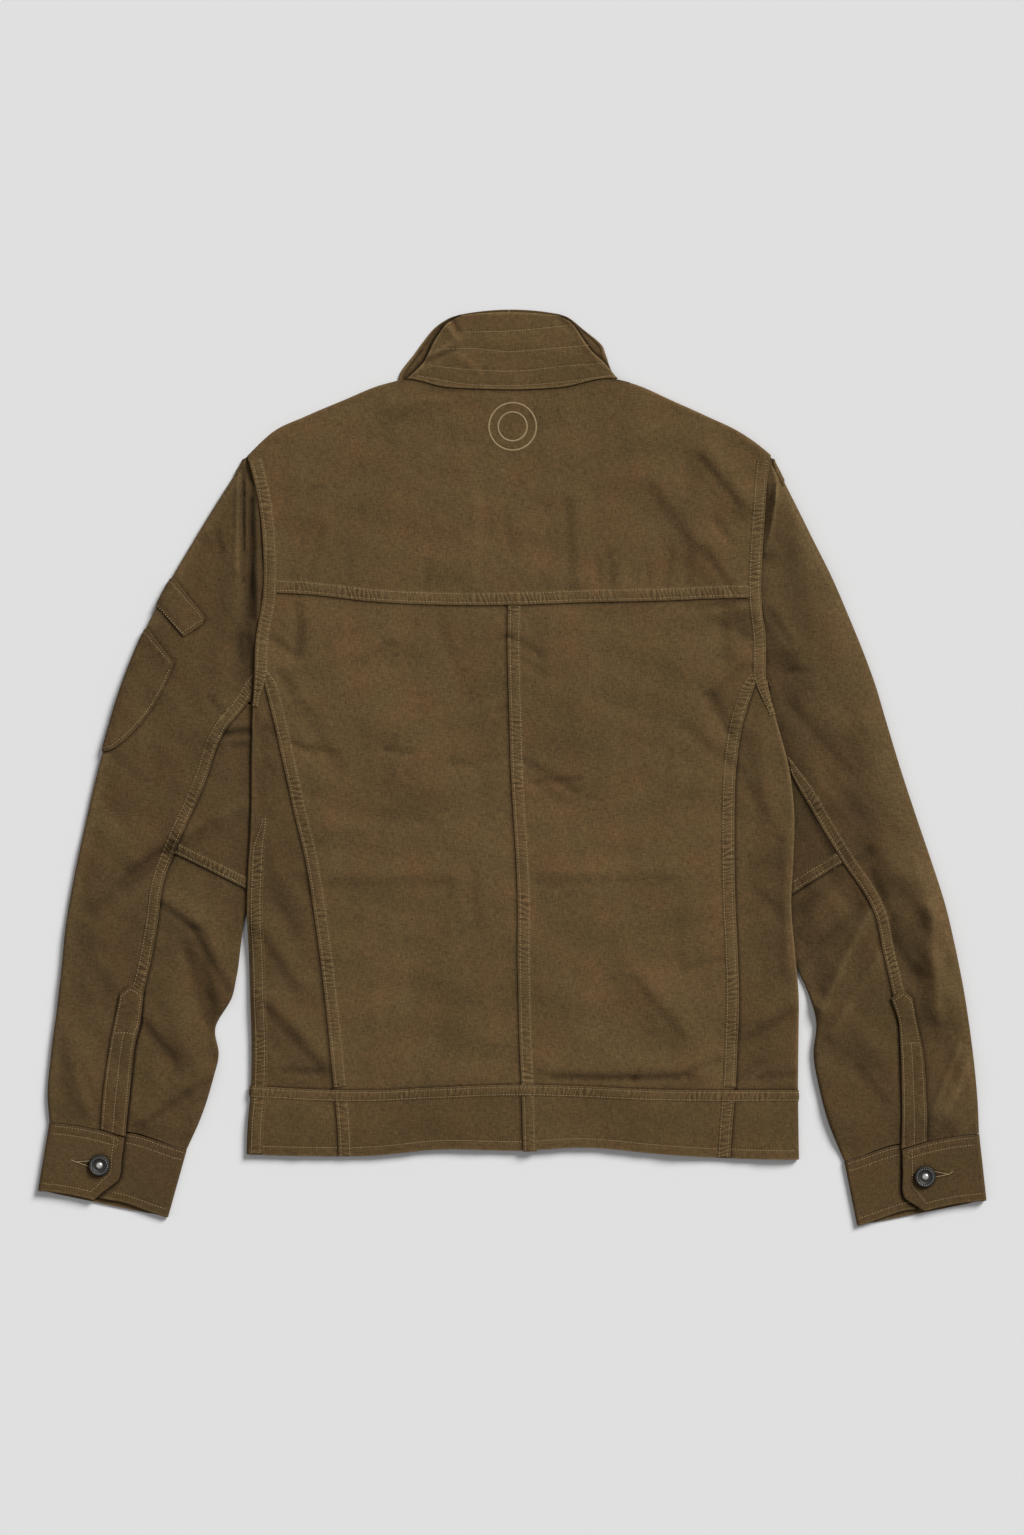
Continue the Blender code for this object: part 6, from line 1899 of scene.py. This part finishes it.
def cuff_grid(cuff):
    """From the end of the tab round the outer fold, back underneath, and on to the end below the tab."""
    down = edged(CUFF_DEPTH, 1.5)
    tab = tab_end(cuff, down)
    high = CUFF_TOP / 2
    low = CUFF_LOW_TOP / 2
    places, ups, cuts = [], [], []

    def column(share, bow, height, up, run):
        x, y = cuff_line(cuff, down, share, bow)
        places.append(np.stack([x, y, height + 0 * x], -1))
        ups.append(np.broadcast_to(UP * up, places[-1].shape))
        cuts.append(np.stack([run + 0 * x, down * CUFF_DEPTH], -1))

    def fold(half, first, count, end, run):
        """Columns round a side fold, over from `first` degrees to the other side, in from the share `end`."""
        squeeze = 1 - rolled(CUFF_DEPTH * (1 - down), CUFF_ROLL) / (2 * half)
        inward = 1 if end == 0 else -1
        for degrees in np.linspace(first, -first, count):
            c, s = math.cos(math.radians(degrees)), math.sin(math.radians(degrees))
            share = np.full(len(down), end + inward * half / CUFF_WIDTH * (1 - c))
            turned = 0.6 * half * math.radians(degrees - first)
            column(share, 0.0, half + half * s * squeeze, s if abs(s) > 0.01 else 1, run + turned)

    nose = high / CUFF_WIDTH
    for k in edged(65.0, 1.6)[:-3]:
        share = tab * (1 - k) + k * nose
        end_away = (tab - share) * CUFF_WIDTH
        height = CUFF_TOP + cuff_relief(down, share, 0) - rolled(end_away, CUFF_ROLL)
        height = height - 0.24 * fading(end_away - TAB_ROW, 0.8) * (down < 0.7)
        column(share, tab_bow(share), height, 1, -share * CUFF_WIDTH)
    fold(high, 90, 11, 0, 0.0)
    for share in np.linspace(0.08, 0.92, 14):
        column(np.full(len(down), share), 0.0, np.zeros(len(down)), -1, share * CUFF_WIDTH)
    fold(low, -90, 9, 1, CUFF_WIDTH)
    for share in np.linspace(1 - 3.6 / CUFF_WIDTH, UNDER_TAB, 56):
        shares = np.full(len(down), share)
        settled = rise(share, 0.98, 0.95)
        height = CUFF_LOW_TOP + cuff_relief(down, shares, 1) * (settled * rise(share, 0.55, 0.62))
        column(shares, lap_bow(share), height, 1, CUFF_WIDTH * (2 - share))
    return np.array(places), np.array(ups), np.array(cuts)


def cuff_face(cuff, bow, top, low):
    """Points for thread on a cuff: on its tab, or on the end that lies below the tab where `low` is 1."""

    def face(down, share):
        x, y = cuff_line(cuff, down, share, bow(share))
        z = top + cuff_relief(down, share, low) + 0.05
        return np.stack([x, y, z], -1), np.broadcast_to(UP, (len(x), 3))

    return face


def buttonhole(word, cuff):
    """A worked buttonhole: close purl stitches down both sides of a slit, which the button draws open."""
    lines = []
    for side in cuff.holes:
        x, y, _ = trace(side)
        points = np.stack([x, y, np.full(len(x), CUFF_TOP + 0.1)], -1)
        lines.append((points, np.broadcast_to(UP, points.shape)))
    return stitched(f"buttonhole_{word}", lines, 0.9)


for word, cuff in (("left", LEFT_CUFF), ("right", RIGHT_CUFF)):
    outer, normal, cut = cuff_grid(cuff)
    x, y, z = outer.transpose(2, 0, 1)
    edge_away = CUFF_DEPTH - cut[..., 1]
    rubbed = 0.35 * fading(edge_away - 0.8, 0.9)
    # Painted shade: in the buttonhole's slit, round the foot of the button, and on the lower end beside the
    # end of the tab that lies over it.
    slit = [cuff.holes[0][0], cuff.holes[0][1], cuff.holes[1][1], cuff.holes[1][0]]
    dark = 0.6 * fading(near_line(x, y, slit), 1.2) * (z > CUFF_TOP - 1)
    centre = np.hypot(x - cuff.button[0], y - cuff.button[1])
    dark += 0.5 * fading(centre - 8.5, 1.8) * (z > CUFF_TOP - 1)
    below_tab = (z > 1) & (z < CUFF_LOW_TOP + 0.5)
    dark += 0.7 * fading(near_line(x, y, outer[0, ::4, :2]), 2.6) * below_tab
    piece = cloth(
        f"canvas_cuff_{word}", outer, normal, cut, band_canvas, CUFF_WALL, rubbed, dark, dye=CUFF_DYE_AND_SHADE
    )
    on_tab = cuff_face(cuff, tab_bow, CUFF_TOP, 0)
    on_lap = cuff_face(cuff, lap_bow, CUFF_LOW_TOP, 1)
    threads = []
    steps = np.linspace(0, 1, 90)
    for row in CUFF_ROWS:
        down = np.full(90, row / CUFF_DEPTH)
        last = tab_end(cuff, down[0]) - (TAB_ROW - TAB_TWIN * (row != CUFF_ROWS[2])) / CUFF_WIDTH
        threads.append(on_tab(down, 0.022 + steps * (last - 0.022)))
        start = tab_end(cuff, down[0]) + 2.0 / CUFF_WIDTH
        threads.append(on_lap(down, start + steps * (0.982 - start)))
    for first, length, inset in ((0.05, 0.51, TAB_ROW), (0.04, 0.11, TAB_ROW - TAB_TWIN)):
        down = first + length * steps
        threads.append(on_tab(down, tab_end(cuff, down) - inset / CUFF_WIDTH))
    downs = (0.56, CUFF_ROWS[2] / CUFF_DEPTH)
    corner, foot = (tab_end(cuff, down) - TAB_ROW / CUFF_WIDTH for down in downs)
    threads.append(on_tab(downs[0] + steps * (downs[1] - downs[0]), corner + steps * (foot - corner)))
    sewing = [stitched(f"stitches_cuff_{word}", threads), buttonhole(word, cuff)]
    laid(piece, f"cuff_{word}", "canvas_band", outer, sewing)

# === Buttons ==========================================================================================
# A shank button on each cuff tab: zinc alloy, plated black and rubbed bright on the rim and the dome, with a
# plain ring of dots pressed into its rim.

BUTTON = table(
    "radius height polish",
    (3.4, 0, 0), (3.4, 1.0, 0), (8.0, 1.0, 0), (8.6, 1.2, 0.2), (8.9, 1.7, 0.5), (9.0, 2.4, 0.8),
    (8.9, 3.0, 1), (8.6, 3.4, 1), (8.2, 3.6, 1), (7.8, 3.5, 0.5), (7.5, 3.3, 0.35), (6.6, 3.25, 0.45),
    (6.2, 3.4, 0.8), (5.9, 3.35, 0.9), (5.6, 3.0, 0.3), (5.0, 2.75, 0), (4.0, 2.6, 0), (3.1, 2.6, 0),
    (2.8, 2.8, 0.2), (2.5, 3.2, 0.7), (2.0, 3.55, 0.9), (1.3, 3.8, 1), (0.6, 3.9, 1),
)
BUTTON_SIDES = 64
PLATED = "373633"
RUBBED = "D0CEC8"
DOTS = 26
DOT_RADIUS = 0.34
DOT_RING = 7.05
DOT_HEIGHT = 3.22


# Black-plated zinc: a metal with a soft gloss, bare and pale where it is rubbed.
plated_zinc, tree, shader = painted("black_plated_zinc", {"Metallic": 0.6})
place = add(tree, "TexCoord").outputs["Object"]
polish = add(tree, "Attribute", attribute_name="polish").outputs["Fac"]
wear = add(tree, "TexNoise", {"Vector": place, "Scale": 900.0, "Detail": 4.0}).outputs["Fac"]
uneven = add(tree, "Math", {0: polish, 1: wear}, operation="MULTIPLY").outputs[0]
share = add(tree, "MapRange", {"Value": uneven, "From Min": 0.0, "From Max": 0.45}).outputs["Result"]
colour = add(tree, "Mix", {"Factor": share, "A": linear(PLATED), "B": linear(RUBBED)}, data_type="RGBA")
rough = add(tree, "MapRange", {"Value": share, "To Min": 0.55, "To Max": 0.3})
pits = add(tree, "Bump", {"Height": wear, "Strength": 0.3, "Distance": 0.00015})
tree.links.new(colour.outputs["Result"], shader.inputs["Base Color"])
tree.links.new(rough.outputs["Result"], shader.inputs["Roughness"])
tree.links.new(pits.outputs["Normal"], shader.inputs["Normal"])

for word, cuff in (("left", LEFT_CUFF), ("right", RIGHT_CUFF)):
    centre = np.array([*cuff.button, CUFF_TOP + GAP])
    circle = bpy.ops.mesh.primitive_circle_add
    piece = started(f"shank_button_{word}", circle, vertices=len(BUTTON), radius=0.001)
    profile = np.array([centre + [point.radius, 0, point.height] for point in BUTTON])
    remeshed(piece, profile, [(k, k + 1) for k in range(len(BUTTON) - 1)], [])
    bpy.ops.object.mode_set(mode="EDIT")
    bpy.ops.mesh.select_all(action="SELECT")
    bpy.ops.mesh.spin(steps=BUTTON_SIDES, angle=math.tau, center=centre * MM, axis=(0, 0, 1))
    bpy.ops.mesh.select_all(action="SELECT")
    bpy.ops.mesh.remove_doubles(threshold=0.00001)
    bpy.ops.mesh.fill_holes(sides=0)
    bpy.ops.mesh.select_all(action="SELECT")
    bpy.ops.mesh.normals_make_consistent(inside=False)
    bpy.ops.object.mode_set(mode="OBJECT")
    for k in range(DOTS):
        turn = math.tau * k / DOTS
        at = (centre + [DOT_RING * math.cos(turn), DOT_RING * math.sin(turn), DOT_HEIGHT]) * MM
        bpy.ops.mesh.primitive_uv_sphere_add(segments=8, ring_count=6, radius=DOT_RADIUS * MM, location=at)
        piece.select_set(True)
        bpy.context.view_layer.objects.active = piece
        bpy.ops.object.join()
        bpy.ops.object.select_all(action="DESELECT")
    mesh = piece.data
    polish = mesh.attributes.new("polish", "FLOAT", "POINT")
    places = np.array([vertex.co[:] for vertex in mesh.vertices]) / MM - centre
    radius = np.hypot(places[:, 0], places[:, 1])
    shine = np.interp(radius, [p.radius for p in reversed(BUTTON)], [p.polish for p in reversed(BUTTON)])
    shine[places[:, 2] < 1.1] = 0
    shine[(np.abs(radius - DOT_RING) < 2 * DOT_RADIUS) & (places[:, 2] > 3.3)] = 0.9
    polish.data.foreach_set("value", shine)
    mesh.materials.append(plated_zinc)
    piece.select_set(True)
    bpy.context.view_layer.objects.active = piece
    bpy.ops.object.shade_smooth_by_angle(angle=math.radians(60))
    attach(piece, "root")
    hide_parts(f"button_{word}")
